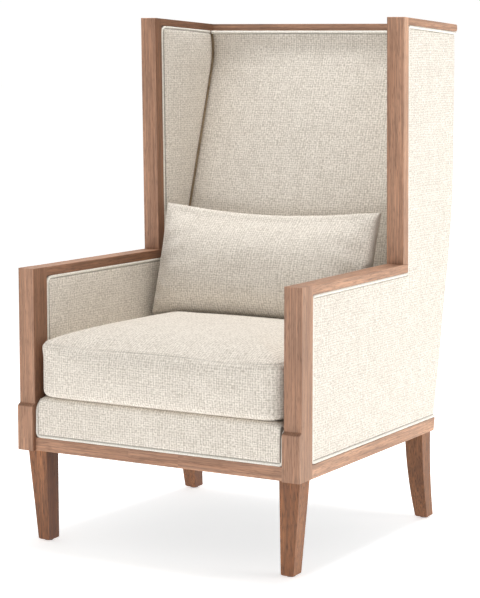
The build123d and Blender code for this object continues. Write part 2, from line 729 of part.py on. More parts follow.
def back_crown(z):
    """Swell of the inside back at its middle, at a height."""
    share = (z - DECK_TOP) / (BACK_TOP - DECK_TOP)
    return BACK_CROWN_TOP + (BACK_CROWN - BACK_CROWN_TOP) * (1 - (2 * share - 1) ** 2)


def back_pad():
    """The inside back: raked, crowned from side to side, and rolled under the crest rail."""
    top = BACK_TOP - WELT
    raked = [DECK_TOP + (BACK_ROLL_START - DECK_TOP) * share for share in (0, 0.3, 0.55, 0.75, 0.9, 1)]
    rolled = [BACK_ROLL_START + (top - BACK_ROLL_START) * share for share in (0.35, 0.7, 1)]
    sections = []
    for z in raked + rolled:
        front = crease_y(z)
        rear = front + BACK_EDGE
        half = side_x(SIDE_THICK, front)
        back = side_x(SIDE_THICK, rear)
        swell = ThreePointArc((-half, front), (0, front - back_crown(z)), (half, front))
        frame = Polyline((half, front), (back, rear), (-back, rear), (-half, front))
        sections.append(Pos(0, 0, z) * make_face(swell + frame))
    return loft(sections, ruled=True)


def back_welt_front():
    """Front of the piping under the crest rail."""
    return crease_y(BACK_TOP - WELT) - BACK_CROWN_TOP


def back_welt():
    """Piping across the top of the inside back, under the crest rail."""
    rear = crease_y(BACK_TOP - WELT) + BACK_EDGE
    bar = cross_block(SIDE_THICK, back_welt_front(), rear, BACK_TOP - WELT, wing_under(rear) - FIT)
    return fillet(bar.faces().sort_by(Axis.Y)[0].edges().filter_by(Axis.X), WELT_ROUND)


def outside_back():
    """The upholstered sheet across the back of the chair."""
    high = wing_under(TOP_END)
    rear = rear_curve(0, SHOW_TOP, high)
    inner = rear_curve(PANEL_THICK, SHOW_TOP, high)
    foot = Line((rear_y(SHOW_TOP, PANEL_THICK), SHOW_TOP), (rear_y(SHOW_TOP), SHOW_TOP))
    head = Line((rear_y(HEIGHT), high), (rear_y(HEIGHT, PANEL_THICK), high))
    return across(make_face(foot + rear + head + inner), FRAME_OUT)


def dust_cover(legs):
    """The cloth under the seat, cut out round the legs."""
    rear = rear_y(RAIL_BOTTOM, PANEL_THICK)
    sheet = cross_block(FRAME_OUT, FRONT_LEG_SETBACK, rear, RAIL_BOTTOM - DUST_COVER_THICK, RAIL_BOTTOM)
    for leg in legs:
        box = leg.bounding_box()
        hole = Box(box.size.X + 2 * DUST_COVER_GAP, box.size.Y + 2 * DUST_COVER_GAP, FAR)
        sheet -= Pos(box.center().X, box.center().Y, 0) * hole
    return sheet


def bowed_side(start, end, out):
    """One side of an outline drawn anticlockwise, bowed out at its middle or, below zero, in."""
    if out == 0:
        return Line(start, end)
    run = Vector(*end) - Vector(*start)
    middle = (Vector(*start) + Vector(*end)) / 2 + Vector(run.Y, -run.X).normalized() * out
    return ThreePointArc(start, (middle.X, middle.Y), end)


def bowed_face(corners, outs):
    """A face whose sides each bow by their own amount."""
    ends = corners[1:] + corners[:1]
    sides = [bowed_side(*side) for side in zip(corners, ends, outs)]
    return make_face(sides[0] + sides[1] + sides[2] + sides[3])


def cushion_section(z, inset, bow):
    """Plan of the seat cushion at a height, drawn in from its widest outline."""
    front = -CUSHION_OVERHANG + inset
    rear = CUSHION_REAR - inset
    near = side_x(SIDE_THICK + CUSHION_GAP, front) - inset
    away = side_x(SIDE_THICK + CUSHION_GAP, rear) - inset
    corners = [(-near, front), (near, front), (away, rear), (-away, rear)]
    draw = -CUSHION_DRAW * bow
    face = bowed_face(corners, [CUSHION_BOW * bow, draw, draw, draw])
    return Pos(0, 0, z) * fillet(face.vertices(), CUSHION_CORNER)


def seat_cushion():
    """The loose seat cushion: rounded edges without piping, and a crown."""
    base = DECK_TOP + CUSHION_LIFT
    edge = base + CUSHION_EDGE
    sections = []
    for turn in (0, pi / 4, pi / 2):
        drawn = CUSHION_ROUND_LOW * (1 - sin(turn))
        sections.append(cushion_section(base + CUSHION_ROUND_LOW * (1 - cos(turn)), drawn, 1))
    for turn in (0, pi / 4):
        drawn = CUSHION_ROUND_HIGH * (1 - cos(turn))
        sections.append(cushion_section(edge - CUSHION_ROUND_HIGH * (1 - sin(turn)), drawn, 1))
    reach = (CUSHION_REAR + CUSHION_OVERHANG) / 2 - CUSHION_ROUND_HIGH - CUSHION_CORNER
    for share, bow in ((0, 1), (0.2, 0), (0.6, 0)):
        drawn = CUSHION_ROUND_HIGH + reach * share
        sections.append(cushion_section(edge + CUSHION_CROWN * (1 - (1 - share) ** 3), drawn, bow))
    return loft(sections, ruled=True)


def pillow_section(height, inset, bow):
    """Outline of the pillow at a distance from its seam's plane, with hollow sides."""
    wide = side_x(SIDE_THICK, CUSHION_REAR) - PILLOW_END_GAP - inset
    tall = PILLOW_HEIGHT / 2 - inset
    corners = [(-wide, -tall), (wide, -tall), (wide, tall), (-wide, tall)]
    draws = [-PILLOW_DRAW * bow, -PILLOW_END_DRAW * bow]
    return Pos(0, 0, height) * bowed_face(corners, draws + draws)


def settle(piece, support, direction):
    """Move a piece straight towards a support until the pillow's gap is left."""
    for _ in range(SETTLE_STEPS):
        piece = Pos(direction * (piece.distance_to(support) - PILLOW_GAP)) * piece
    return piece


def lumbar_pillow(cushion, back):
    """The loose pillow: two swelled halves that meet in a knife-edge seam, leant on the back."""
    sections = []
    for share, bow in ((0, 1), (0.3, 0.6), (0.6, 0), (0.8, 0), (1, 0)):
        sections.append(pillow_section(share * PILLOW_THICK / 2, PILLOW_EDGE * share**1.7, bow))
    half = loft(sections, ruled=True)
    whole = half + mirror(half, about=Plane.XY)
    start = Pos(PILLOW_SHIFT, CUSHION_REAR - PILLOW_THICK, cushion.bounding_box().max.Z + PILLOW_HEIGHT)
    pillow = start * Rot(90 - PILLOW_LEAN, 0, 0) * whole
    for _ in range(SETTLE_ROUNDS):
        pillow = settle(pillow, cushion, Vector(0, 0, -1))
        pillow = settle(pillow, back, Vector(0, 1, 0))
    return pillow


def chair():
    """Every piece of the chair by the name of its node."""
    pieces = {}

    def pair(name, shape):
        pieces[name + "_right"] = shape
        pieces[name + "_left"] = mirror(shape, about=Plane.YZ)

    pair("leg_front", to_side(front_leg()))
    pair("leg_back", to_side(back_leg()))
    pair("front_post", to_side(front_post()))
    pair("arm_rail", to_side(arm_rail()))
    pair("wing_stile", to_side(wing_stile()))
    pair("wing_top_rail", to_side(wing_top_rail()))
    pair("side_rail", to_side(side_rail()))
    pair("back_post", to_side(back_post()))
    pair("wing_foot_rail", to_side(between_stile_and_post(ARM_UNDER, ARM_HEIGHT, stile_rear(ARM_HEIGHT))))
    tack_top = SIDE_RAIL_TOP + TACK_RAIL_HEIGHT
    pair("arm_tack_rail", to_side(between_stile_and_post(SIDE_RAIL_TOP, tack_top, POST_DEPTH)))
    pair("back_upright", back_upright())
    pair("corner_block_front", corner_block(True))
    pair("corner_block_back", corner_block(False))
    pair("outside_panel", to_side(outside_panel()))
    pair("outside_welt", to_side(outside_welt()))
    pair("arm_pad", to_side(arm_pad()))
    pair("arm_welt", to_side(inside_piping(arm_border())))
    pair("wing_pad", to_side(wing_pad()))
    pair("wing_welt", to_side(inside_piping(wing_border())))

    right_bolts = [to_side(leg_bolt(place)) for place in (front_bolt_place(), back_bolt_place())]
    pieces["leg_bolts"] = both_sides(right_bolts)
    right_glides = [to_side(glide(*place)) for place in (front_glide_place(), back_glide_place())]
    pieces["glides"] = both_sides(right_glides)

    names = ("front_rail_left", "front_rail_middle", "front_rail_right")
    pieces.update(zip(names, front_rail_lengths()))
    pieces["crest_rail"] = crest_rail()
    pieces["back_rail"] = back_rail()
    pieces["front_beam"] = cross_block(SIDE_THICK, APRON_DEPTH, POST_DEPTH, RAIL_BOTTOM, BEAM_TOP)
    pieces["back_beam_low"] = back_beam_low()
    pieces["back_beam_high"] = back_beam_high()
    pieces["seat_webbing"] = seat_webbing()
    pieces["back_webbing"] = back_webbing()
    pieces["seat_deck"] = seat_deck()
    pieces["front_apron"] = front_apron()
    pieces["apron_welt"] = apron_welt()
    pieces["back_pad"] = back_pad()
    pieces["back_welt"] = back_welt()
    pieces["outside_back"] = outside_back()
    legs = [shape for name, shape in pieces.items() if name.startswith("leg_") and name != "leg_bolts"]
    pieces["dust_cover"] = dust_cover(legs)
    pieces["seat_cushion"] = seat_cushion()
    pieces["lumbar_pillow"] = lumbar_pillow(pieces["seat_cushion"], pieces["back_pad"])
    return pieces


def both_sides(shapes):
    """One group of the right side's small parts and their mirror images."""
    return Compound(shapes + [mirror(shape, about=Plane.YZ) for shape in shapes])


PIECES = chair()
BOX = Compound([solid for piece in PIECES.values() for solid in piece.solids()]).bounding_box()
os.makedirs("parts", exist_ok=True)
for node, piece in PIECES.items():
    export_step(Pos(0, -BOX.center().Y, 0) * piece, f"parts/{node}.step")
print("size", [round(side, 1) for side in BOX.size])
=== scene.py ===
from math import cos, pi, radians, sin, sqrt, tan

import bmesh
import bpy
import numpy as np
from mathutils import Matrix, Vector


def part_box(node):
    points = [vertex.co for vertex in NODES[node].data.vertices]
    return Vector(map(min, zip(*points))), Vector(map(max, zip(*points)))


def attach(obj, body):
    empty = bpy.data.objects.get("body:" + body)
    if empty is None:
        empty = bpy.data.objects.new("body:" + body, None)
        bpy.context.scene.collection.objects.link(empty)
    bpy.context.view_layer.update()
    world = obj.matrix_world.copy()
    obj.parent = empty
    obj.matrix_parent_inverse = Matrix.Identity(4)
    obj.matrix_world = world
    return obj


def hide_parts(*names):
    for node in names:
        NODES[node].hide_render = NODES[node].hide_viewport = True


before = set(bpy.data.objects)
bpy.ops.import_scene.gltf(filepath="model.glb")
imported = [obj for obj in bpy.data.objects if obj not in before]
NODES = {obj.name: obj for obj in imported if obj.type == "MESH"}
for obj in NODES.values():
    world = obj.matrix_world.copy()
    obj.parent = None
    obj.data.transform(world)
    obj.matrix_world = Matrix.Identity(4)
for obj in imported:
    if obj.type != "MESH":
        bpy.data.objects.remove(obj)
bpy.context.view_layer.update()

# Looks of a high wing chair. Metres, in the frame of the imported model. Heights and places
# along the chair are those of the drawing, whose zero is the front face of the front posts.
SCENE = bpy.context.scene
CHAIR, CUSHION, PILLOW = "chair_frame", "seat_cushion", "lumbar_pillow"
SIDES = ((1, "right"), (-1, "left"))

SHIFT = 0.3775375  # drawing's zero to the middle of the footprint
HALF = 0.356  # centre line to the outer face of a side, at the front
TAPER = radians(1.4)  # turn of each side towards the back
THICK = 0.042  # arms and wings, from outer to inner wood face
POST = 0.048  # depth of a front post
RAIL_LOW, RAIL_TOP = 0.209, 0.238  # bare wood along the bottom of the seat
DECK = 0.330
ARM_UNDER, ARM_TOP = 0.592, 0.612
HEIGHT = 1.158
STILE_FRONT, STILE_LEAN, STILE_DEPTH = 0.487, 0.010, 0.0245
STILE_TOP = HEIGHT - 0.017  # about where a stile meets the underside of its top rail
TOP_RAIL, TOP_FALL, TOP_OVERHANG = 0.016, 0.016, 0.004
CREST_DEPTH = 0.043
REAR_FOOT, REAR_RAKE = 0.664, radians(11.2)
REAR_BEND, REAR_RADIUS = 0.580, 1.450
BACK_AT_DECK = 0.509  # inside back at its sides, at the height of the deck
ROLL = 0.087  # height of the inside back's roll under the crest rail
ROLL_START, ROLL_END = 0.006, 0.008  # ends of the roll, from the front of the crest rail
WELT = 0.0035  # radius of the piping
SNUG = 0.0004  # gap between fabric and what it lies against


# Lines of the chair

def side_x(depth, y):
    """Half width of the plane at a depth inside a side's outer face."""
    return HALF - depth / cos(TAPER) - y * tan(TAPER)


def on_side(depth, along, z, sign):
    """Points of a side from their depth, their place along the side and their height."""
    x = HALF - depth * cos(TAPER) - along * sin(TAPER)
    y = along * cos(TAPER) - depth * sin(TAPER)
    return np.stack(np.broadcast_arrays(sign * x, y - SHIFT, z), axis=-1)


ARC_Y = REAR_FOOT + (REAR_BEND - RAIL_LOW) * tan(REAR_RAKE) - REAR_RADIUS * cos(REAR_RAKE)
ARC_Z = REAR_BEND + REAR_RADIUS * sin(REAR_RAKE)


def rear_y(z):
    """The chair's back line: raked, then an arc, then upright."""
    z = np.asarray(z, float)
    straight = ARC_Y + REAR_RADIUS * cos(REAR_RAKE) - (REAR_BEND - z) * tan(REAR_RAKE)
    drop = ARC_Z - np.clip(z, REAR_BEND, ARC_Z)
    arc = ARC_Y + np.sqrt(np.maximum(REAR_RADIUS**2 - drop**2, 0))
    return np.where(z < REAR_BEND, straight, arc)


TOP_START = STILE_FRONT - STILE_LEAN
TOP_END = float(rear_y(HEIGHT)) + TOP_OVERHANG


def stile_rear(z):
    """Rear face of a wing stile."""
    return STILE_FRONT - (z - ARM_TOP) * (STILE_LEAN / (HEIGHT - ARM_TOP)) + STILE_DEPTH


def wing_under(y):
    """Underside of a wing's top rail."""
    return HEIGHT - TOP_FALL * (y - TOP_START) / (TOP_END - TOP_START) - TOP_RAIL


CREST_FRONT = TOP_END - CREST_DEPTH
BACK_TOP = wing_under(CREST_FRONT)
LEAN = (CREST_FRONT - ROLL_START - BACK_AT_DECK) / (BACK_TOP - ROLL - DECK)


def crease_y(z):
    """Front of the inside back at its sides: raked, then rolled forward under the crest."""
    z = np.asarray(z, float)
    share = np.clip((z - BACK_TOP + ROLL) / ROLL, 0, 1)
    raked = BACK_AT_DECK + (np.minimum(z, BACK_TOP - ROLL) - DECK) * LEAN
    return raked + LEAN * ROLL * share * (1 - share) - (ROLL_END - ROLL_START) * share**2


# Mesh helpers
UNDER_WELT, WELT_ROLL = 0.0052, 0.0055  # cloth hidden under the piping, and the small roll beside it
SEAM = (0.0, UNDER_WELT, 0.0058, 0.0064, 0.0072, 0.0082, 0.0098, 0.0122, 0.0154, 0.0195)
SEAM_BAND = SEAM[-1]  # width of the finer steps beside a seam
# Painted shade in the crease beside piping: where it ends, how fast it fades, and how dark it is
SEAM_SHADE_END, SEAM_SHADE_FADE, SEAM_SHADE_DARK = 0.0088, 0.0018, 0.9


def spread(count, ends):
    """Numbers from 0 to 1 that lie closer together at both ends."""
    even = np.linspace(0, 1, count)
    return (1 - ends) * even + ends * (0.5 - 0.5 * np.cos(pi * even))


def marks(length, step, near=False, far=False, fine=SEAM):
    """Places from 0 to 1 along a length, at an even step and finer beside a seam at either end."""
    low = fine[-1] if near else 0.0
    high = length - (fine[-1] if far else 0.0)
    even = np.linspace(low, high, max(3, int(round((high - low) / step)) + 1))
    places = [even]
    if near:
        places.append(fine[:-1])
    if far:
        places.append([length - d for d in fine[:-1]])
    return np.sort(np.concatenate(places)) / length


def fitted(place, nominal, actual, band=SEAM_BAND):
    """Distances from an edge, kept in the band beside its seam and stretched beyond it to fit."""
    return np.where(place <= band, place, band + (place - band) / (nominal - band) * (actual - band))


def ease(distance, reach):
    """Quarter-round rise from 0 at an edge to 1 at a reach from it."""
    share = np.clip(distance / reach, 0, 1)
    return np.sqrt(1 - (1 - share) ** 2)


def groove(distance, deep):
    """How far cloth turns down beside piping: fully under the piping, then out in a small roll."""
    return deep * (1 - ease(distance - UNDER_WELT, WELT_ROLL))


def wobble(a, b, size, seed):
    """Slow uneven swelling between -1 and 1 over two places in metres."""
    rng = np.random.default_rng(seed)
    waves = 6
    total = 0
    for _ in range(waves):
        angle, phase, stretch = rng.uniform(0, 2 * pi), rng.uniform(0, 2 * pi), rng.uniform(0.6, 1.6)
        total = total + np.sin(2 * pi / (size * stretch) * (a * cos(angle) + b * sin(angle)) + phase)
    return total / waves


def box_uv(mesh):
    """Lay the weave flat on each face from the axis that it faces most."""
    layer = mesh.uv_layers.get("cloth") or mesh.uv_layers.new(name="cloth")
    for face in mesh.polygons:
        n = [abs(v) for v in face.normal]
        first, second = ((1, 2), (0, 2), (0, 1))[n.index(max(n))]
        for loop in face.loop_indices:
            place = mesh.vertices[mesh.loops[loop].vertex_index].co
            layer.data[loop].uv = (place[first], place[second])


def turn_outwards(mesh, join=0.0, sign=0):
    """Join vertices that lie closer than a distance, and turn the faces outwards.

    An open sheet is turned towards +x or -x by its sign.
    """
    work = bmesh.new()
    work.from_mesh(mesh)
    if join:
        bmesh.ops.remove_doubles(work, verts=work.verts, dist=join)
    bmesh.ops.recalc_face_normals(work, faces=work.faces)
    if sign * sum(face.normal.x * face.calc_area() for face in work.faces) < 0:
        bmesh.ops.reverse_faces(work, faces=work.faces)
    work.to_mesh(mesh)
    work.free()


def make_object(name, points, faces, uv=None):
    """A smooth mesh object, with its outside outwards."""
    mesh = bpy.data.meshes.new(name)
    places = [tuple(p) for p in np.asarray(points, float)]
    mesh.from_pydata(places, [], [tuple(int(i) for i in face) for face in faces])
    turn_outwards(mesh)
    mesh.polygons.foreach_set("use_smooth", [True] * len(mesh.polygons))
    if uv is None:
        box_uv(mesh)
    else:
        layer = mesh.uv_layers.new(name="cloth")
        index = np.zeros(len(mesh.loops), np.int32)
        mesh.loops.foreach_get("vertex_index", index)
        layer.data.foreach_set("uv", np.asarray(uv, np.float32)[index].ravel())
    piece = bpy.data.objects.new(name, mesh)
    SCENE.collection.objects.link(piece)
    return piece


def grid_faces(index):
    """Quads of a grid of vertex numbers."""
    quads = np.stack([index[:-1, :-1], index[:-1, 1:], index[1:, 1:], index[1:, :-1]], axis=-1)
    return quads.reshape(-1, 4).tolist()


def used_only(faces):
    """Numbers of the points that faces use, the faces renumbered to them, and each one's new number."""
    used = sorted({int(i) for face in faces for i in face})
    order = {old: new for new, old in enumerate(used)}
    return used, [[order[int(i)] for i in face] for face in faces], order


def paint_seam_shade(piece, distance):
    """Paint shade into the crease beside a pad's piping, by each vertex's distance from the wood."""
    marked = piece.data.attributes.new("seam", "FLOAT", "POINT")
    values = np.zeros(len(piece.data.vertices), np.float32)
    flat = np.asarray(distance, np.float32).ravel()
    values[:flat.size] = SEAM_SHADE_DARK * np.clip((SEAM_SHADE_END - flat) / SEAM_SHADE_FADE, 0, 1)
    marked.data.foreach_set("value", values)
    return piece


def padded_grid(name, front, back, uv):
    """A closed pad from the grid of its face and the grid of its underside."""
    rows, cols = front.shape[:2]
    index = np.arange(rows * cols).reshape(rows, cols)
    under = index + rows * cols
    rim = np.concatenate([index[0, :-1], index[:-1, -1], index[-1, :0:-1], index[:0:-1, 0]])
    walls = [[a, b, b + rows * cols, a + rows * cols] for a, b in zip(rim, np.roll(rim, -1))]
    faces = grid_faces(index) + grid_faces(under[:, ::-1]) + walls
    points = np.concatenate([front.reshape(-1, 3), back.reshape(-1, 3)])
    flat = np.stack(np.broadcast_arrays(*uv), axis=-1).reshape(-1, 2)
    return make_object(name, points, faces, np.concatenate([flat, flat]))


def rounded_path(corners, radius):
    """A run of points with its corners rounded, none taking more than its share of a run."""
    step, corner_points, corner_share = 0.006, 9, 0.45
    corners = [np.asarray(c, float) for c in corners]
    path = [corners[0]]
    for before, corner, after in zip(corners, corners[1:], corners[2:]):
        into, out = before - corner, after - corner
        into_long, out_long = np.linalg.norm(into), np.linalg.norm(out)
        reach = min(radius, corner_share * into_long, corner_share * out_long)
        start = corner + into / into_long * reach
        end = corner + out / out_long * reach
        for t in np.linspace(0, 1, corner_points):
            path.append((1 - t) ** 2 * start + 2 * t * (1 - t) * corner + t**2 * end)
    path.append(corners[-1])
    dense = []
    for a, b in zip(path, path[1:]):
        steps = max(1, int(np.linalg.norm(b - a) / step))
        dense += [a + (b - a) * i / steps for i in range(steps)]
    return np.array(dense + [path[-1]])


def piping(name, corners, radius=0.012):
    """A cord in a fabric sleeve, swept along a run of corners and a little uneven."""
    path = rounded_path(corners, radius)
    along = np.gradient(path, axis=0)
    along /= np.linalg.norm(along, axis=1)[:, None]
    side = np.cross(along[0], (0.31, 0.57, 0.76))
    sides = 12
    points, uv = [], []
    length = np.concatenate([[0], np.cumsum(np.linalg.norm(np.diff(path, axis=0), axis=1))])
    for place, run, far in zip(path, along, length):
        side = side - run * np.dot(side, run)
        side = side / np.linalg.norm(side)
        up = np.cross(run, side)
        radius_here = WELT * (1 + 0.03 * sin(far * 210) + 0.02 * sin(far * 77 + 1))
        for k in range(sides + 1):
            turn = 2 * pi * k / sides
            points.append(place + radius_here * (cos(turn) * side + sin(turn) * up))
            uv.append((far, WELT * turn))
    index = np.arange(len(points)).reshape(len(path), sides + 1)
    faces = grid_faces(index)
    faces += [index[0, :sides][::-1].tolist(), index[-1, :sides].tolist()]
    piece = make_object(name, points, faces, uv)
    turn_outwards(piece.data, join=1e-6)
    return piece


def coordinates(mesh):
    """Places of a mesh's vertices."""
    flat = np.zeros(len(mesh.vertices) * 3, np.float32)
    mesh.vertices.foreach_get("co", flat)
    return flat.reshape(-1, 3).astype(float)


def set_coordinates(mesh, points):
    mesh.vertices.foreach_set("co", np.asarray(points, np.float32).ravel())
    mesh.update()


def inflate(piece, pressure, cap, held, frames, stretch, bend, shrink=0.0):
    """Swell a piece as cloth under pressure, no further than a cap, and keep the result."""
    before = coordinates(piece.data)
    pins = piece.vertex_groups.new(name="held")
    pins.add([int(i) for i in held], 1.0, "REPLACE")
    modifier = piece.modifiers.new("swell", "CLOTH")
    cloth = modifier.settings
    cloth.quality = 6
    cloth.mass = 0.25
    cloth.tension_stiffness = stretch
    cloth.compression_stiffness = stretch
    cloth.shear_stiffness = stretch / 3
    cloth.bending_stiffness = bend
    cloth.use_pressure = True
    cloth.uniform_pressure_force = pressure
    cloth.shrink_min = shrink
    cloth.effector_weights.gravity = 0
    cloth.vertex_group_mass = "held"
    modifier.collision_settings.use_collision = False
    modifier.point_cache.frame_start = 1
    modifier.point_cache.frame_end = frames
    for number in range(1, frames + 1):
        SCENE.frame_set(number)
    shaped = piece.evaluated_get(bpy.context.evaluated_depsgraph_get())
    move = coordinates(shaped.to_mesh()) - before
    shaped.to_mesh_clear()
    piece.modifiers.remove(modifier)
    piece.vertex_groups.remove(pins)
    SCENE.frame_set(1)
    far = np.linalg.norm(move, axis=1)[:, None]
    set_coordinates(piece.data, before + move * np.minimum(1, cap / np.maximum(far, 1e-9)))


def finer(piece):
    """One subdivision of a soft piece."""
    modifier = piece.modifiers.new("finer", "SUBSURF")
    modifier.levels = modifier.render_levels = 1
    return piece


# Material helpers

def material(name):
    """A new material, with its nodes, its links and its shader."""
    made = bpy.data.materials.new(name)
    made.use_nodes = True
    return made, made.node_tree.nodes, made.node_tree.links, made.node_tree.nodes["Principled BSDF"]


def node(nodes, kind, **values):
    """A new node with its sockets or settings filled in."""
    made = nodes.new(kind)
    for key, value in values.items():
        if key in made.inputs:
            made.inputs[key].default_value = value
        else:
            setattr(made, key, value)
    return made


def grey(value):
    return (value, value, value)


def shaded(colour, share):
    """A colour made darker or paler as a whole."""
    return tuple(share * v for v in colour)


def toned(nodes, links, value, *stops):
    """A colour picked by a value between stops."""
    made = nodes.new("ShaderNodeValToRGB")
    while len(made.color_ramp.elements) < len(stops):
        made.color_ramp.elements.new(0.5)
    for element, (place, colour) in zip(made.color_ramp.elements, stops):
        element.position = place
        element.color = (*colour, 1)
    links.new(value, made.inputs[0])
    return made.outputs[0]


def ranged(nodes, links, value, low, high, to_low=0.0, to_high=1.0):
    """A value carried over from one range to another."""
    made = node(nodes, "ShaderNodeMapRange")
    ends = {"From Min": low, "From Max": high, "To Min": to_low, "To Max": to_high}
    for key, end in ends.items():
        made.inputs[key].default_value = end
    links.new(value, made.inputs["Value"])
    return made.outputs[0]


def maths(nodes, links, operation, *values):
    made = node(nodes, "ShaderNodeMath", operation=operation)
    for socket, value in zip(made.inputs, values):
        if isinstance(value, (int, float)):
            socket.default_value = value
        else:
            links.new(value, socket)
    return made.outputs[0]


def tinted(nodes, links, first, second, share, blend="MIX"):
    """Two colours mixed, or one multiplied by the other, to a share."""
    made = node(nodes, "ShaderNodeMix", data_type="RGBA", blend_type=blend)
    for socket, value in zip((made.inputs[0], made.inputs[6], made.inputs[7]), (share, first, second)):
        if isinstance(value, (int, float)):
            socket.default_value = value
        elif isinstance(value, tuple):
            socket.default_value = (*value, 1)
        else:
            links.new(value, socket)
    return made.outputs[2]


def emboss(nodes, links, shader, height, strength, depth):
    """Relief on a material."""
    bump = node(nodes, "ShaderNodeBump", Strength=strength, Distance=depth)
    links.new(height, bump.inputs["Height"])
    links.new(bump.outputs[0], shader.inputs["Normal"])


# Materials
PAINTED_LIGHT_OUT, PAINTED_SHADE_IN = (1.07, 1.13, 1.15), (0.63, 0.56, 0.50)  # painted light on faces turned outward, painted shade on faces turned inward


def wood(name, axis, seed, light, dark, pore=0.55, inward=0):
    """Brushed open-pored wood with its grain along one axis, with painted shade on faces turned inward and
    painted light on faces turned outward.
    """
    made, nodes, links, shader = material(name)
    place = node(nodes, "ShaderNodeTexCoord").outputs["Object"]

    def drawn_out(along, shift, **values):
        """Noise stretched along the grain."""
        scale = [1.0, 1.0, 1.0]
        scale[axis] = along
        offset = (0.37 * seed + shift, 0.71 * seed - shift, 0.53 * seed)
        mapping = node(nodes, "ShaderNodeMapping", Location=offset, Scale=tuple(scale))
        links.new(place, mapping.inputs["Vector"])
        noise = node(nodes, "ShaderNodeTexNoise", **values)
        links.new(mapping.outputs[0], noise.inputs["Vector"])
        return noise.outputs[0]

    figure = drawn_out(0.09, 0.0, Scale=26.0, Detail=4.0, Roughness=0.55, Distortion=0.9)
    streak = drawn_out(0.018, 1.7, Scale=330.0, Detail=3.0, Roughness=0.6)
    pores = drawn_out(0.075, 3.1, Scale=620.0, Detail=2.0, Roughness=0.5)
    middle = tuple(0.5 * (a + b) for a, b in zip(light, dark))
    body = toned(nodes, links, figure, (0.30, dark), (0.52, middle), (0.74, light))
    lines = toned(nodes, links, streak, (0.36, grey(0.64)), (0.64, grey(1.20)))
    holes = toned(nodes, links, pores, (0.52, grey(0.0)), (0.66, grey(1.0)))
    grain = tinted(nodes, links, body, lines, 0.85, "MULTIPLY")
    sunk = maths(nodes, links, "MULTIPLY", holes, pore)
    colour = tinted(nodes, links, grain, shaded(dark, 0.42), sunk)
    turned = node(nodes, "ShaderNodeVectorMath", operation="DOT_PRODUCT")
    turned.inputs[1].default_value = (inward, 0.0, 0.0)
    links.new(node(nodes, "ShaderNodeTexCoord").outputs["Normal"], turned.inputs[0])
    facing = ranged(nodes, links, turned.outputs["Value"], -1.0, 1.0)
    plain = grey(1.0)
    # Painted shade on faces turned inward and painted light on faces turned outward, by the way each face
    # points
    painted_shading = toned(nodes, links, facing, (0.1, PAINTED_LIGHT_OUT), (0.35, plain), (0.65, plain), (0.9, PAINTED_SHADE_IN))
    links.new(tinted(nodes, links, colour, painted_shading, 1.0, "MULTIPLY"), shader.inputs["Base Color"])
    links.new(ranged(nodes, links, streak, 0.3, 0.7, 0.50, 0.66), shader.inputs["Roughness"])
    emboss(nodes, links, shader, maths(nodes, links, "SUBTRACT", streak, holes), 0.30, 0.0006)
    shader.inputs["Specular IOR Level"].default_value = 0.5
    return made


YARN_PITCH, YARN_WEIGHT = (0.0060, 0.0052), (0.34, 0.28)  # across the cloth, and up it
WEAVE_SWING = 0.39  # from the middle of the mix to its darkest and its palest threads


def linen(name, light, dark, seed, slub=1.0):
    """Slubby plain-weave linen, laid by the piece's own flat coordinates."""
    made, nodes, links, shader = material(name)
    place = node(nodes, "ShaderNodeUVMap", uv_map="cloth").outputs[0]
    apart = node(nodes, "ShaderNodeSeparateXYZ")
    links.new(place, apart.inputs[0])

    def threads(across, along, shift, detail=0.0):
        """Uneven threads, by their number in a metre across the cloth and up it."""
        offset = (seed + shift, 2.3 * seed - shift, 0)
        mapping = node(nodes, "ShaderNodeMapping", Location=offset, Scale=(across, along, 1))
        links.new(place, mapping.inputs["Vector"])
        noise = node(nodes, "ShaderNodeTexNoise", noise_dimensions="2D")
        for key, value in (("Scale", 1.0), ("Detail", detail), ("Roughness", 0.55)):
            noise.inputs[key].default_value = value
        links.new(mapping.outputs[0], noise.inputs["Vector"])
        return noise.outputs[0]

    def added(*values):
        total = values[0]
        for value in values[1:]:
            total = maths(nodes, links, "ADD", total, value)
        return total

    def weighted(value, share):
        return maths(nodes, links, "MULTIPLY", value, share)

    def yarns(axis, shift):
        """Lines of yarn side by side along an axis, unevenly spaced and unevenly thick."""
        order = 1 if axis == 0 else -1
        wander = threads(*(60.0, 9.0)[::order], shift)
        turns = added(weighted(apart.outputs[axis], 2 * pi / YARN_PITCH[axis]), weighted(wander, 2 * pi))
        heft = threads(*(300.0, 48.0)[::order], shift + 1.9)
        return weighted(maths(nodes, links, "SINE", turns), heft)

    parts = [
        (threads(700.0, 140.0, 0.3), 1.0),
        (threads(140.0, 700.0, 5.1), 1.0),
        (threads(800.0, 800.0, 9.7), 0.30),
        (threads(36.0, 36.0, 6.1), 0.18),
        (threads(7.0, 7.0, 2.9, detail=2.0), 0.10),
    ]
    centre = 0.5 * sum(share for _, share in parts)
    parts += [(yarns(axis, shift), YARN_WEIGHT[axis] * slub) for axis, shift in ((0, 3.7), (1, 8.3))]
    mixed = added(*(weighted(*part) for part in parts))
    swing = ranged(nodes, links, mixed, centre - WEAVE_SWING, centre + WEAVE_SWING)
    cloth = toned(nodes, links, swing, (0.0, dark), (1.0, light))
    # Painted shade in the crease beside piping, darkening the cloth by each piece's seam attribute
    seam = node(nodes, "ShaderNodeAttribute", attribute_name="seam").outputs["Fac"]
    links.new(tinted(nodes, links, cloth, shaded(dark, 0.30), seam), shader.inputs["Base Color"])
    fine = added(threads(900.0, 120.0, 1.3, detail=1.0), threads(120.0, 900.0, 7.3, detail=1.0))
    emboss(nodes, links, shader, added(fine, mixed), 0.45, 0.0006)
    shader.inputs["Roughness"].default_value = 0.92
    shader.inputs["Specular IOR Level"].default_value = 0.12
    shader.inputs["Sheen Weight"].default_value = 0.12
    shader.inputs["Sheen Roughness"].default_value = 0.5
    return made


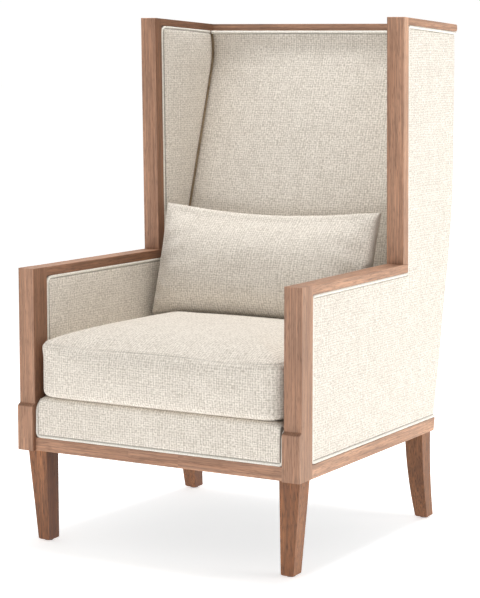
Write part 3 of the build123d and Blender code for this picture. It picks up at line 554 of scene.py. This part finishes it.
def speckled(name, colour, rough, scale, metal=0.0):
    """Plain stuff of hidden pieces, with a fine uneven surface."""
    made, nodes, links, shader = material(name)
    noise = node(nodes, "ShaderNodeTexNoise", Scale=scale, Detail=3.0)
    links.new(node(nodes, "ShaderNodeTexCoord").outputs["Object"], noise.inputs["Vector"])
    paler = tuple(min(1, 1.2 * v) for v in colour)
    tone = toned(nodes, links, noise.outputs[0], (0.3, shaded(colour, 0.75)), (0.7, paler))
    links.new(tone, shader.inputs["Base Color"])
    emboss(nodes, links, shader, noise.outputs[0], 0.3, 0.0004)
    shader.inputs["Roughness"].default_value = rough
    shader.inputs["Metallic"].default_value = metal
    return made


def shared(name, make, *values):
    """A material that several pieces share, made at its first use."""
    return bpy.data.materials.get(name) or make(name, *values)


FABRIC = (0.92, 0.86, 0.775), (0.54, 0.485, 0.415)  # palest and darkest threads
# Shaded copies of the same fabric: painted shade makes the pillow 4 % and the inside back 6 % darker
PILLOW_FABRIC_SHADED = [shaded(tone, 0.96) for tone in FABRIC]
BACK_FABRIC_SHADED = [shaded(tone, 0.94) for tone in FABRIC]
LINEN = linen("linen_upholstery", *FABRIC, 1.0)
LINEN_CUSHION = linen("linen_cushion", *FABRIC, 4.0)
LINEN_PILLOW_SHADED = linen("linen_pillow_painted_shade", *PILLOW_FABRIC_SHADED, 7.0)
LINEN_BACK_SHADED = linen("linen_back_painted_shade", *BACK_FABRIC_SHADED, 1.0)
LINEN_PIPING = linen("linen_piping", (0.90, 0.87, 0.80), (0.76, 0.72, 0.64), 11.0, slub=0.8)
LINING = linen("deck_lining", (0.70, 0.65, 0.56), (0.56, 0.51, 0.43), 13.0, slub=0.5)
OAK_LIGHT, OAK_DARK = (0.560, 0.310, 0.196), (0.35, 0.179, 0.105)
LEG_LIGHT, LEG_DARK = (0.405, 0.169, 0.070), (0.215, 0.080, 0.030)
TIMBER_LIGHT, TIMBER_DARK = (0.60, 0.46, 0.31), (0.50, 0.37, 0.24)


def dress(piece, made, body=CHAIR, stands_for=()):
    """Give a new piece its material and the body that carries it, and hide the parts it stands for."""
    piece.data.materials.clear()
    piece.data.materials.append(made)
    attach(piece, body)
    if stands_for:
        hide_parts(*stands_for)
    return piece


# Wood keeps its solids and gets a grain along each member
GRAIN = {
    "front_post": 2, "wing_stile": 2, "leg_front": 2, "leg_back": 2, "arm_rail": 1, "wing_top_rail": 1,
    "side_rail": 1, "crest_rail": 0, "back_rail": 0, "front_rail": 0,
}
TONE = {
    "front_rail_left": 1.02, "front_rail_middle": 1.08, "front_rail_right": 1.0, "crest_rail": 0.90,
    "front_post_right": 0.92, "front_post_left": 0.98, "wing_stile_right": 1.04, "leg_back_right": 0.84,
}
HIDDEN_TIMBER = (
    "back_post", "wing_foot", "arm_tack", "back_upright", "corner_block", "front_beam", "back_beam",
)
for order, (name, solid) in enumerate(sorted(NODES.items())):
    axis = [way for start, way in GRAIN.items() if name.startswith(start)]
    if axis:
        leg = name.startswith("leg_")
        tone = TONE.get(name, 1.0)
        shades = [shaded(c, tone) for c in ((LEG_LIGHT, LEG_DARK) if leg else (OAK_LIGHT, OAK_DARK))]
        # Which way a side member's inward faces point, for its painted shade and painted light
        inward = -1 if name.endswith("_right") else 1 if name.endswith("_left") else 0
        seed, pore = 1.0 + 0.618 * order, 0.85 if leg else 0.5
        made = wood(f"wood_{name}", axis[0], seed, *shades, pore=pore, inward=inward)
    elif name.startswith(HIDDEN_TIMBER):
        made = shared("hidden_timber", wood, 2, 3.0, TIMBER_LIGHT, TIMBER_DARK)
    elif name.endswith("webbing"):
        made = shared("elastic_webbing", speckled, (0.12, 0.11, 0.10), 0.85, 900.0)
    elif name == "leg_bolts":
        made = speckled("zinc_steel", (0.55, 0.55, 0.56), 0.35, 500.0, metal=1.0)
    elif name == "glides":
        made = speckled("glide_plastic", (0.06, 0.055, 0.05), 0.55, 700.0)
    else:
        continue
    solid.data.materials.clear()
    solid.data.materials.append(made)

# Inside arms and wings
FACE_T, UNDER_T = 0.0420, 0.0300  # a pad's face and its underside, from the side's outer face
PAD_PROUD = 0.0010
PAD_STEP = 0.007
PAD_GROOVE = 0.0055
BEHIND_BACK = 0.006  # how far pads run on behind the inside back
CORD_T, CORD_CORNER = FACE_T - 0.0021, 0.016


def arm_pad(sign, name):
    long, tall, band = 0.55, ARM_UNDER - DECK, 0.02
    swell, swell_long, swell_low = 0.0045, 0.44, 0.20
    u, v = np.meshgrid(marks(long, PAD_STEP, near=True), marks(tall, PAD_STEP, far=True))
    z = DECK + v * tall
    s = POST + fitted(u * long, long, crease_y(z) + BEHIND_BACK - POST, band)
    edge = np.minimum(s - POST, ARM_UNDER - z)
    crown = np.sin(pi * np.clip((s - POST) / swell_long, 0, 1))
    crown = crown * np.sin(pi * np.clip((z - swell_low) / (ARM_UNDER - swell_low), 0, 1))
    depth = FACE_T + PAD_PROUD - groove(edge, PAD_GROOVE) + swell * crown
    depth = depth + 0.0006 * wobble(s, z, 0.16, 3 + sign)
    front, back = on_side(depth, s, z, sign), on_side(UNDER_T, s, z, sign)
    return paint_seam_shade(padded_grid(name, front, back, (s, z)), edge)


def wing_pad(sign, name):
    nominal, step, slope_reach = 0.20, 0.006, 0.20
    swell, swell_wide = 0.0075, 0.22
    tuck, tuck_reach = 0.011, 0.030
    u, v = np.meshgrid(marks(nominal, step, near=True), marks(BACK_TOP - ARM_UNDER, PAD_STEP, far=True))
    high = ARM_UNDER + v * (BACK_TOP - ARM_UNDER)
    start, end = stile_rear(high), crease_y(high) + BEHIND_BACK
    s = start + fitted(u * nominal, nominal, end - start)
    top = wing_under(s)
    z = high + (top - BACK_TOP) * np.clip((high - ARM_UNDER) / slope_reach, 0, 1)
    edge = np.minimum(s - start, top - z)
    share = (s - start) / (end - start)
    fade = ease(top - z, 0.07) * ease(z - ARM_UNDER, 0.10)
    crown = swell * (end - start) / swell_wide * np.sin(pi * share**0.9) * fade
    depth = FACE_T + PAD_PROUD - groove(edge, PAD_GROOVE) + crown - tuck * (1 - ease(end - s, tuck_reach))
    depth = depth + 0.0007 * wobble(s, z, 0.18, 8 + sign)
    under = np.minimum(UNDER_T - 0.004, depth - 0.002)
    front, back = on_side(depth, s, z, sign), on_side(under, s, z, sign)
    return paint_seam_shade(padded_grid(name, front, back, (s, z)), edge)


for sign, side in SIDES:
    pad = dress(arm_pad(sign, f"inside_arm_{side}"), LINEN, stands_for=[f"arm_pad_{side}"])
    pad = dress(wing_pad(sign, f"inside_wing_{side}"), LINEN, stands_for=[f"wing_pad_{side}"])
    front, high, end = POST + WELT, ARM_UNDER - WELT, float(crease_y(ARM_UNDER)) - 0.004
    line = [(front, DECK + 0.004), (front, high), (end, high)]
    cord = piping(f"arm_piping_{side}", [on_side(CORD_T, s, z, sign) for s, z in line], CORD_CORNER)
    dress(cord, LINEN_PIPING, stands_for=[f"arm_welt_{side}"])
    front, corner, end = stile_rear(ARM_UNDER) + WELT, stile_rear(STILE_TOP) + WELT, CREST_FRONT - 0.014
    line = [(front, ARM_UNDER + 0.002)] + [(s, wing_under(s) - WELT) for s in (corner, end)]
    cord = piping(f"wing_piping_{side}", [on_side(CORD_T, s, z, sign) for s, z in line], CORD_CORNER)
    dress(cord, LINEN_PIPING, stands_for=[f"wing_welt_{side}"])


# Inside back

def back_pad():
    crown_ends, crown_middle = 0.007, 0.026
    under_wing, tuck, tuck_reach = 0.036, 0.014, 0.036
    u, v = np.meshgrid(2 * spread(66, 0.5) - 1, marks(BACK_TOP - DECK, 0.009, far=True))
    z = DECK + v * (BACK_TOP - DECK)
    edge = crease_y(z)
    wide = side_x(under_wing, edge)
    x = u * wide
    share = (z - DECK) / (BACK_TOP - DECK)
    crown = crown_ends + crown_middle * (1 - (2 * share - 1) ** 2)
    y = edge - crown * (1 - np.abs(u) ** 2.4)
    y = y + tuck * (1 - ease((1 - np.abs(u)) * wide, tuck_reach)) + groove(BACK_TOP - z, 0.0065)
    y = y + 0.0012 * wobble(x, z, 0.30, 21)
    front = np.stack([x, y - SHIFT, z], axis=-1)
    back = np.stack([x, np.maximum(edge + 0.017, y + 0.003) - SHIFT, z], axis=-1)
    pad = paint_seam_shade(padded_grid("inside_back", front, back, (x, z)), BACK_TOP - z)
    rows, cols = front.shape[:2]
    index = np.arange(rows * cols).reshape(rows, cols)
    rim = [part.ravel() for part in (index[:2], index[-10:], index[:, :3], index[:, -3:])]
    held = np.concatenate([*rim, np.arange(rows * cols, 2 * rows * cols)])
    inflate(pad, 1.2, 0.005, held, frames=14, stretch=25.0, bend=6.0)
    return pad


BACK_PAD = dress(back_pad(), LINEN_BACK_SHADED, stands_for=["back_pad"])
welt_y = float(crease_y(BACK_TOP - 0.006)) - 0.007 + WELT
reach = side_x(THICK + 0.001, welt_y)
cord = piping("back_piping", [(x, welt_y - SHIFT, BACK_TOP - WELT) for x in (-reach, 0, reach)])
dress(cord, LINEN_PIPING, stands_for=["back_welt"])


# Front apron

def apron():
    shoulder, roll, lap = 0.024, 0.012, 0.012  # upper corners, top edge, and the run under the cushion
    nominal, swell, proud = 0.100, 0.0016, 0.0006
    half = side_x(THICK, roll) - SNUG
    u = 2 * marks(2 * half, 0.0075, near=True, far=True) - 1
    u, v = np.meshgrid(u, marks(nominal, 0.0035, near=True))
    x = u * half
    over = np.clip(np.abs(x) - (half - shoulder), 0, shoulder)
    top = DECK - SNUG - (shoulder - np.sqrt(shoulder**2 - over**2))
    rise = top - roll - RAIL_TOP
    run = fitted(v * nominal, nominal, rise + roll * pi / 2 + lap)
    turn = np.clip((run - rise) / roll, 0, pi / 2)
    past = np.clip(run - rise - roll * pi / 2, 0, None)
    y = roll * (1 - np.cos(turn)) + past
    z = RAIL_TOP + np.minimum(run, rise) + roll * np.sin(turn)
    edge = np.minimum(half - np.abs(x), z - RAIL_TOP)
    y = y + groove(edge, PAD_GROOVE) * np.cos(turn) - swell * np.sin(pi * np.clip(run / rise, 0, 1)) - proud
    y = y + 0.0004 * wobble(x, z, 0.14, 31)
    front = np.stack([x, y - SHIFT, z], axis=-1)
    back = np.stack([x, np.maximum(y + 0.004, 0.016) - SHIFT, np.minimum(z, top - 0.006)], axis=-1)
    rolled_in = turn > 1.2  # under the cushion, where there is no piping
    return paint_seam_shade(padded_grid("seat_apron", front, back, (x, run)), np.where(rolled_in, 1.0, edge))


dress(apron(), LINEN, stands_for=["front_apron"])
half = side_x(THICK, 0.0) - WELT
line = [(-half, 0.020, 0.321), (-half, 0.0035, 0.306), (-half, 0.0022, RAIL_TOP + WELT)]
line += [(-x, y, z) for x, y, z in reversed(line)]
cord = piping("apron_piping", [(x, y - SHIFT, z) for x, y, z in line], 0.010)
dress(cord, LINEN_PIPING, stands_for=["apron_welt"])

# Outside panels: an L on each side that rolls round the rear edge, and a sheet across the back
PANEL_T, PANEL_GROOVE, PANEL_STEP = 0.0025, 0.0050, 0.009
PANEL_SWELL, PANEL_SWELL_REACH = 0.0012, 0.12
REAR_ROLL, REAR_ROLL_STEPS = 0.008, 8
OUTSIDE_CORD_T, OUTSIDE_CORD_CORNER = 0.0036, 0.009


def outside_lines():
    """Wood edges round an outside panel, from the seat's back corner to the wing's."""
    top, rear = stile_rear(STILE_TOP), float(rear_y(HEIGHT))
    return [
        (float(rear_y(RAIL_TOP)), RAIL_TOP), (POST, RAIL_TOP), (POST, ARM_UNDER),
        (stile_rear(ARM_UNDER), ARM_UNDER), (top, wing_under(top)), (rear, wing_under(rear)),
    ]


def distance_to(lines, s, z):
    """Distance of places on a side from the nearest of its lines."""
    nearest = np.full(np.shape(s), 1.0)
    for (s0, z0), (s1, z1) in zip(lines, lines[1:]):
        run = np.array([s1 - s0, z1 - z0])
        t = np.clip(((s - s0) * run[0] + (z - z0) * run[1]) / run.dot(run), 0, 1)
        nearest = np.minimum(nearest, np.hypot(s - s0 - t * run[0], z - z0 - t * run[1]))
    return nearest


def outside_panel(sign, name):
    lines = outside_lines()
    split = stile_rear(ARM_UNDER)
    crown = wing_under(split) - 0.0005
    nominal, slope_reach = 0.25, 0.30
    low = RAIL_TOP + marks(ARM_UNDER - RAIL_TOP, PANEL_STEP, near=True, far=True) * (ARM_UNDER - RAIL_TOP)
    high = ARM_UNDER + marks(crown - ARM_UNDER, 0.010, far=True)[1:] * (crown - ARM_UNDER)
    points, uv, inward = [], [], []

    def block(s, z, turn):
        """Add a grid of places, turned round the rear edge where its turn is above 0."""
        inside = distance_to(lines, s, z)
        swell = PANEL_SWELL * np.clip(inside / PANEL_SWELL_REACH, 0, 1)
        depth = PANEL_T + groove(inside, PANEL_GROOVE) - swell
        depth = depth + 0.0005 * wobble(s, z, 0.24, 41 + sign) + REAR_ROLL * (1 - np.cos(turn))
        place = s - REAR_ROLL * (1 - np.sin(turn)) * (turn > 0)
        start = len(points)
        points.extend(on_side(depth, place, z, sign).reshape(-1, 3))
        run = s + np.where(turn > 0, REAR_ROLL * (turn - 1), 0)
        uv.extend(np.stack([run, z], axis=-1).reshape(-1, 2))
        inward.extend(inside.ravel())
        return np.arange(start, len(points)).reshape(s.shape)

    s, z = np.meshgrid(POST + marks(split - POST, PANEL_STEP, near=True) * (split - POST), low)
    arm = block(s, z, np.zeros_like(s))
    across = marks(nominal, PANEL_STEP, near=True) * nominal
    turns = np.concatenate([np.zeros(len(across)), np.linspace(0, pi / 2, REAR_ROLL_STEPS + 1)[1:]])
    rows = []
    for height in np.concatenate([low, high]):
        start, end = stile_rear(max(height, ARM_UNDER)), float(rear_y(height))
        flat = start + fitted(across, nominal, end - REAR_ROLL - start)
        row = np.concatenate([flat, np.full(REAR_ROLL_STEPS, end)])
        fall = (wing_under(split) - wing_under(row)) * np.clip((height - ARM_UNDER) / slope_reach, 0, 1)
        rows.append((row, height - fall, turns))
    wing = block(*(np.array(part) for part in zip(*rows)))
    piece = paint_seam_shade(make_object(name, points, grid_faces(arm) + grid_faces(wing), uv), inward)
    turn_outwards(piece.data, join=1e-5, sign=sign)
    skin = piece.modifiers.new("thickness", "SOLIDIFY")
    skin.thickness = 0.003
    skin.offset = -1
    return piece


INTO_PANEL = [(-0.002, WELT), (WELT, WELT), (WELT, -WELT), (WELT, -WELT), (WELT, -WELT), (-0.002, -WELT)]
for sign, side in SIDES:
    panel = outside_panel(sign, f"outside_cover_{side}")
    pad = dress(panel, LINEN, stands_for=[f"outside_panel_{side}"])
    line = [(s + ds, z + dz) for (s, z), (ds, dz) in zip(outside_lines(), INTO_PANEL)]
    run = [on_side(OUTSIDE_CORD_T, s, z, sign) for s, z in line]
    cord = piping(f"outside_piping_{side}", run, OUTSIDE_CORD_CORNER)
    dress(cord, LINEN_PIPING, stands_for=[f"outside_welt_{side}"])


def outside_back():
    gap, thick = 0.0006, 0.0045
    low, top = RAIL_TOP + gap, wing_under(TOP_END) - gap
    u, v = np.meshgrid(2 * spread(60, 0.5) - 1, spread(80, 0.3))
    z = low + v * (top - low)
    y = rear_y(z)
    wide = side_x(PANEL_T + REAR_ROLL + gap, y)
    x = u * wide
    edge = np.minimum((1 - np.abs(u)) * wide, np.minimum(z - RAIL_TOP, top - z))
    y = y + 0.0008 * np.clip(edge / 0.10, 0, 1) - 0.0032 * (1 - ease(edge, 0.006))
    y = y + 0.0005 * wobble(x, z, 0.28, 51)
    front = np.stack([x, y - SHIFT, z], axis=-1)
    back = np.stack([x, np.minimum(rear_y(z), y) - thick - SHIFT, z], axis=-1)
    return padded_grid("outside_back_cover", front, back, (x, z))


dress(outside_back(), LINEN, stands_for=["outside_back"])


# Seat deck, seen when the cushion is lifted

def seat_deck():
    front_y, rear_end, thick = 0.025, 0.536, 0.0135
    seam_y, seam_deep, seam_wide = 0.150, 0.003, 0.004
    u, v = np.meshgrid(2 * spread(50, 0.5) - 1, spread(44, 0.5))
    y = front_y + v * (rear_end - front_y)
    wide = np.where(y < POST + 0.001, side_x(THICK + 0.0005, y), side_x(THICK - 0.006, y))
    x = u * wide
    edge = np.minimum((1 - np.abs(u)) * wide, np.minimum(y - front_y, rear_end - y))
    z = DECK - SNUG - 0.006 * (1 - ease(edge, 0.012)) - 0.004 * np.clip(edge / 0.2, 0, 1) ** 2
    z = z - seam_deep * np.exp(-(((y - seam_y) / seam_wide) ** 2))
    front = np.stack([x, y - SHIFT, z], axis=-1)
    back = np.stack([x, y - SHIFT, np.full_like(z, DECK - thick)], axis=-1)
    return padded_grid("seat_platform", front, back, (x, y))


dress(seat_deck(), LINING, stands_for=["seat_deck"])


# Dust cover under the seat, cut out round the legs

def dust_cover():
    low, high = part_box("dust_cover")
    holes = [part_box(f"leg_{end}_{side}") for end in ("front", "back") for side in ("left", "right")]
    gap, inset, deepest = 0.0006, 0.0090, 0.0035
    xs, ys = set(np.linspace(low.x, high.x, 60)), set(np.linspace(low.y, high.y, 56))
    for a, b in holes:
        xs |= {a.x - gap, b.x + gap}
        ys |= {a.y - gap, b.y + gap}
    ys = {y for y in ys if low.y <= y <= high.y}
    x, y = np.meshgrid(np.array(sorted(xs)), np.array(sorted(ys)))
    wide = side_x(inset, y + SHIFT)
    inside = np.clip(x, -wide, wide)
    sag = deepest * np.cos(0.5 * pi * inside / wide) * np.sin(pi * (y - low.y) / (high.y - low.y))
    z = 0.5 * (low.z + high.z) - sag - 0.0004 * wobble(inside, y, 0.12, 61)
    faces = []
    for quad in grid_faces(np.arange(x.size).reshape(x.shape)):
        px, py = x.ravel()[quad].mean(), y.ravel()[quad].mean()
        open_here = any(a.x - gap < px < b.x + gap and a.y - gap < py < b.y + gap for a, b in holes)
        beyond = abs(px) > side_x(inset, py + SHIFT) + 0.004
        if not open_here and not beyond:
            faces.append(quad)
    points = np.stack([inside, y, z], axis=-1).reshape(-1, 3)
    used, faces, _ = used_only(faces)
    piece = make_object("dust_cloth_cover", points[used], faces)
    skin = piece.modifiers.new("thickness", "SOLIDIFY")
    skin.thickness = 0.0006
    area = sum(face.area for face in piece.data.polygons)
    return piece, (high.x - low.x, high.y - low.y), area


sheet, flat, area = dust_cover()
dust_cloth = speckled("dust_cloth", grey(0.022), 0.9, 1200.0)
dress(sheet, dust_cloth, stands_for=["dust_cover"])


# Seat cushion

def box_shell(places):
    """Points and quads of a box's surface, divided at the places given along each axis."""
    known, points, faces = {}, [], []

    def vertex(place):
        key = tuple(np.round(place, 6))
        if key not in known:
            known[key] = len(points)
            points.append(place)
        return known[key]

    for axis in range(3):
        a, b = [k for k in range(3) if k != axis]
        for end in (0, -1):
            grid = np.zeros((len(places[b]), len(places[a])), int)
            for j, second in enumerate(places[b]):
                for i, first in enumerate(places[a]):
                    place = np.zeros(3)
                    place[axis], place[a], place[b] = places[axis][end], first, second
                    grid[j, i] = vertex(place)
            faces += grid_faces(grid)
    return np.array(points), faces


def seat_cushion():
    front, rear = -0.0095, 0.5005
    front_limit, rear_limit, side_limit = -0.0175, 0.5008, THICK + 0.0040
    middle, wide, deep = (front + rear) / 2, 0.300, (rear - front) / 2
    base, thick, crown, crown_reach = DECK + 0.0010, 0.124, 0.027, 0.19
    corner, low_round, high_round = 0.044, 0.015, 0.019
    side_draw, rear_draw, front_bow, belly_bow = 0.004, 0.004, 0.004, 0.003
    stitch, seam_shade_mark = 0.0009, 0.0081  # the stitched line: how far it is drawn in, and the strength of the painted shade along it
    step, fine = 0.0095, (0.0, 0.002, 0.005, 0.009, 0.0135, 0.019, 0.025, 0.031, 0.038, 0.045)
    across = (marks(2 * wide, step, True, True, fine) - 0.5) * 2 * wide
    along = (marks(2 * deep, step, True, True, fine) - 0.5) * 2 * deep
    up = marks(thick, 0.0085, True, True, fine[:6]) * thick
    points, faces = box_shell((across, along, up))

    # A box with rounded corners in plan and rounded edges, whose top is crowned
    half = np.array([wide, deep])
    flat, z = points[:, :2], points[:, 2]
    core = np.clip(flat, -(half - corner), half - corner)
    away = flat - core
    inset = np.min(half - np.abs(flat), axis=1)
    upper = z > thick / 2
    radius = np.where(upper, high_round, low_round)
    from_end = np.minimum(z, thick - z)
    wall = inset < 1e-7
    share = np.where(wall, from_end, inset) / radius
    turn = np.where(wall, pi / 4 * (1 - share), pi / 4 * (1 + share))
    rounded = share < 1
    drawn = np.where(rounded, radius * (1 - np.cos(turn)), np.where(wall, 0, inset))
    fall = np.where(rounded, radius * (1 - np.sin(turn)), np.where(wall, from_end, 0))
    stitched = (from_end < 1e-7) & wall & upper
    drawn, fall = drawn + stitch * stitched, fall + stitch * stitched
    length = np.linalg.norm(away, axis=1)
    reach = np.where(length > 1e-9, (corner - drawn) / np.maximum(length, 1e-9), 1)
    flat = core + away * reach[:, None]
    swell = crown * (1 - (1 - np.clip((inset - high_round) / crown_reach, 0, 1)) ** 3)
    z = np.where(upper, thick - fall + np.where(wall, 0, swell), fall)

    # The front bows out, and the back and the sides draw in between the corners
    u, v = flat[:, 0] / wide, flat[:, 1] / deep
    belly = np.sin(pi * np.clip(z / thick, 0, 1))
    y = flat[:, 1] - (front_bow + belly_bow * belly) * (1 - u**2) * np.clip(-v, 0, 1) ** 6
    y = y - rear_draw * (1 - u**2) * np.clip(v, 0, 1) ** 6 + middle
    x = flat[:, 0] * side_x(THICK + 0.0045, y) / wide
    x = x - np.sign(u) * side_draw * (1 - v**2) * np.abs(u) ** 6
    z = z + base + 0.0015 * wobble(x, y, 0.34, 71) * np.clip(z / thick, 0, 1)
    made = np.stack([x, y - SHIFT, z], axis=-1)
    piece = paint_seam_shade(make_object("seat_cushion_cover", made, faces), np.where(stitched, seam_shade_mark, 1.0))
    held = np.nonzero(made[:, 2] < base + 0.002)[0]
    inflate(piece, 0.8, 0.006, held, frames=16, stretch=30.0, bend=10.0)

    # Kept clear of the arms and the back, with its front corners drawn in below the stitched line
    shaped = coordinates(piece.data)
    limit = side_x(side_limit, shaped[:, 1] + SHIFT)
    shaped[:, 0] = np.clip(shaped[:, 0], -limit, limit)
    shaped[:, 1] = np.clip(shaped[:, 1], front_limit - SHIFT, rear_limit - SHIFT)
    u, v = shaped[:, 0] / limit, (shaped[:, 1] + SHIFT - middle) / deep
    below = np.clip((base + thick - 0.014 - shaped[:, 2]) / 0.02, 0, 1)
    drawn_in = below * np.clip(-v, 0, 1) ** 6 * np.abs(u) ** 6
    shaped[:, 0] -= np.sign(u) * 0.004 * drawn_in
    shaped[:, 1] += 0.003 * drawn_in
    shaped[:, 2] = np.maximum(shaped[:, 2], DECK + 0.0006)
    set_coordinates(piece.data, shaped)
    box_uv(piece.data)
    return finer(piece)


dress(seat_cushion(), LINEN_CUSHION, CUSHION, ["seat_cushion"])


# Lumbar pillow: two sheets sewn along their edges and filled

def soft_abs(share):
    """Distance from the middle, 1 at an edge, with no crease at the middle."""
    blunt = 0.06
    return (np.sqrt(share**2 + blunt) - sqrt(blunt)) / (sqrt(1 + blunt) - sqrt(blunt))


def lumbar_pillow():
    wide, tall, thick = 0.2852, 0.1360, 0.0790
    lean, middle = radians(14.6), (-0.005, 0.4715 - SHIFT, 0.5935)
    end_draw, top_draw, low_draw = 0.013, 0.022, 0.008
    puff_reach, puff_deep, settle = 0.104, 0.080, 0.25
    ripple_deep, ripple_long, ripple_reach = 0.010, 0.052, 0.075
    cols, rows = 85, 41
    u, v = np.meshgrid(2 * spread(cols, 0.45) - 1, 2 * spread(rows, 0.45) - 1)
    x = u * (wide - end_draw * (1 - v**2))
    y = v * (tall - np.where(v > 0, top_draw, low_draw) * (1 - u**2))
    settled = v + settle * (1 - v**2)
    to_end, to_edge = (1 - soft_abs(u)) * wide, (1 - soft_abs(settled)) * tall
    inward = to_end + to_edge - np.hypot(to_end, to_edge)
    share = np.clip(inward / puff_reach, 0, 1)
    puff = (1 - (1 - share) ** 2) ** 0.78
    ripple = np.sin(2 * pi * (to_edge + 0.3 * to_end) / ripple_long)
    ripple = ripple * np.exp(-((to_end / ripple_reach) ** 2)) * share * (1 - share)
    front = np.stack([x, y, puff_deep * puff + ripple_deep * ripple], axis=-1)

    # Both sheets share the vertices of the sewn edge, and the weave follows the cloth's own length
    index = np.arange(rows * cols).reshape(rows, cols)
    under = index + rows * cols
    under[0], under[-1], under[:, 0], under[:, -1] = index[0], index[-1], index[:, 0], index[:, -1]
    points = np.concatenate([front.reshape(-1, 3), (front * [1, 1, -1]).reshape(-1, 3)])
    used, faces, order = used_only(grid_faces(index) + grid_faces(under[:, ::-1]))
    across, up = [np.linalg.norm(np.diff(front, axis=k), axis=-1).cumsum(axis=k) for k in (1, 0)]
    across, up = np.pad(across, ((0, 0), (1, 0))), np.pad(up, ((1, 0), (0, 0)))
    across, up = across - across[:, cols // 2, None], up - up[None, rows // 2]
    flat = np.stack([across, up], axis=-1).reshape(-1, 2)
    flat = np.concatenate([flat, flat + 3.0])[used]
    piece = make_object("lumbar_pillow_cover", points[used], faces, flat)
    seam = {int(i) for side in (index[0], index[-1], index[:, 0], index[:, -1]) for i in side}
    held = [order[i] for i in sorted(seam)]
    inflate(piece, 1.8, 0.005, held, frames=18, stretch=30.0, bend=3.0, shrink=0.006)

    # Brought back to its size, then leant against the back
    shaped = coordinates(piece.data)
    low, high = shaped.min(0), shaped.max(0)
    shaped = (shaped - (low + high) / 2) / ((high - low) / 2)
    shaped *= [wide, tall, thick]
    x = shaped[:, 0]
    y = shaped[:, 1] * sin(lean) - shaped[:, 2] * cos(lean)
    z = shaped[:, 1] * cos(lean) + shaped[:, 2] * sin(lean)
    set_coordinates(piece.data, np.stack([x, y, z], axis=-1) + middle)
    return finer(piece)


dress(lumbar_pillow(), LINEN_PILLOW_SHADED, PILLOW, ["lumbar_pillow"])

# Floor
FLOOR_HALF = 30.0
corners = [(-1, -1), (1, -1), (1, 1), (-1, 1)]
floor_mesh = bpy.data.meshes.new("studio_floor")
floor_mesh.from_pydata([(FLOOR_HALF * x, FLOOR_HALF * y, 0) for x, y in corners], [], [(0, 1, 2, 3)])
floor = bpy.data.objects.new("studio_floor", floor_mesh)
SCENE.collection.objects.link(floor)
pale, _, _, pale_shader = material("pale_floor")
pale_shader.inputs["Base Color"].default_value = (0.93, 0.93, 0.93, 1)
pale_shader.inputs["Roughness"].default_value = 0.9
pale_shader.inputs["Emission Color"].default_value = (1, 1, 1, 1)
pale_shader.inputs["Emission Strength"].default_value = 0.60
floor_mesh.materials.append(pale)

# Studio sky: bright behind the chair, dimmer in front of it, to its right and overhead
BEHIND = (-0.507, 0.862, 0.0)
SKY_FRONT, SKY_BEHIND = (0.60, 0.596, 0.588), (1.02, 1.015, 1.005)
world = bpy.data.worlds.new("studio")
SCENE.world = world
world.use_nodes = True
sky, sky_links = world.node_tree.nodes, world.node_tree.links
direction = node(sky, "ShaderNodeTexCoord").outputs["Generated"]
facing = node(sky, "ShaderNodeVectorMath", operation="DOT_PRODUCT")
facing.inputs[1].default_value = BEHIND
sky_links.new(direction, facing.inputs[0])
ways = node(sky, "ShaderNodeSeparateXYZ")
sky_links.new(direction, ways.inputs[0])
fade = toned(sky, sky_links, facing.outputs["Value"], (0.35, SKY_FRONT), (0.85, SKY_BEHIND))
rightward = toned(sky, sky_links, ways.outputs[0], (0.15, grey(1.0)), (0.85, grey(0.64)))
upward = toned(sky, sky_links, ways.outputs[2], (0.05, grey(1.0)), (0.65, grey(0.70)))
level = tinted(sky, sky_links, fade, rightward, 1.0, "MULTIPLY")
level = tinted(sky, sky_links, level, upward, 1.0, "MULTIPLY")
sky_links.new(level, sky["Background"].inputs["Color"])


def soft_light(name, place, target, power, wide, tall):
    """A large soft lamp at a place, turned towards a target."""
    lamp = bpy.data.lights.new(name, "AREA")
    lamp.shape = "RECTANGLE"
    lamp.energy, lamp.size, lamp.size_y = power, wide, tall
    holder = bpy.data.objects.new(name, lamp)
    holder.location = place
    holder.rotation_euler = (Vector(target) - Vector(place)).to_track_quat("-Z", "Y").to_euler()
    SCENE.collection.objects.link(holder)


soft_light("key_right", (3.4, 0.9, 0.60), (0, 0, 0.6), 48, 1.8, 0.7)
soft_light("key_front", (-0.8, -4.2, 0.35), (0, 0, 0.35), 21, 2.6, 0.6)
soft_light("key_top", (0.12, 0.36, 3.5), (0, -0.05, 0.4), 76, 1.4, 1.0)

# Camera at the photograph's viewing angle
CAMERA_PLACE = (2.37015, -3.64678 - SHIFT, 1.12343)
CAMERA_TARGET = (0.00257, 0.350 - SHIFT, 0.52791)
camera = bpy.data.objects.new("camera", bpy.data.cameras.new("camera"))
camera.data.lens = 125.04
camera.data.sensor_width = 36.0
camera.location = CAMERA_PLACE
aim = Vector(CAMERA_TARGET) - camera.location
camera.rotation_euler = aim.to_track_quat("-Z", "Y").to_euler()
SCENE.collection.objects.link(camera)
SCENE.camera = camera
SCENE.view_settings.view_transform = "Standard"
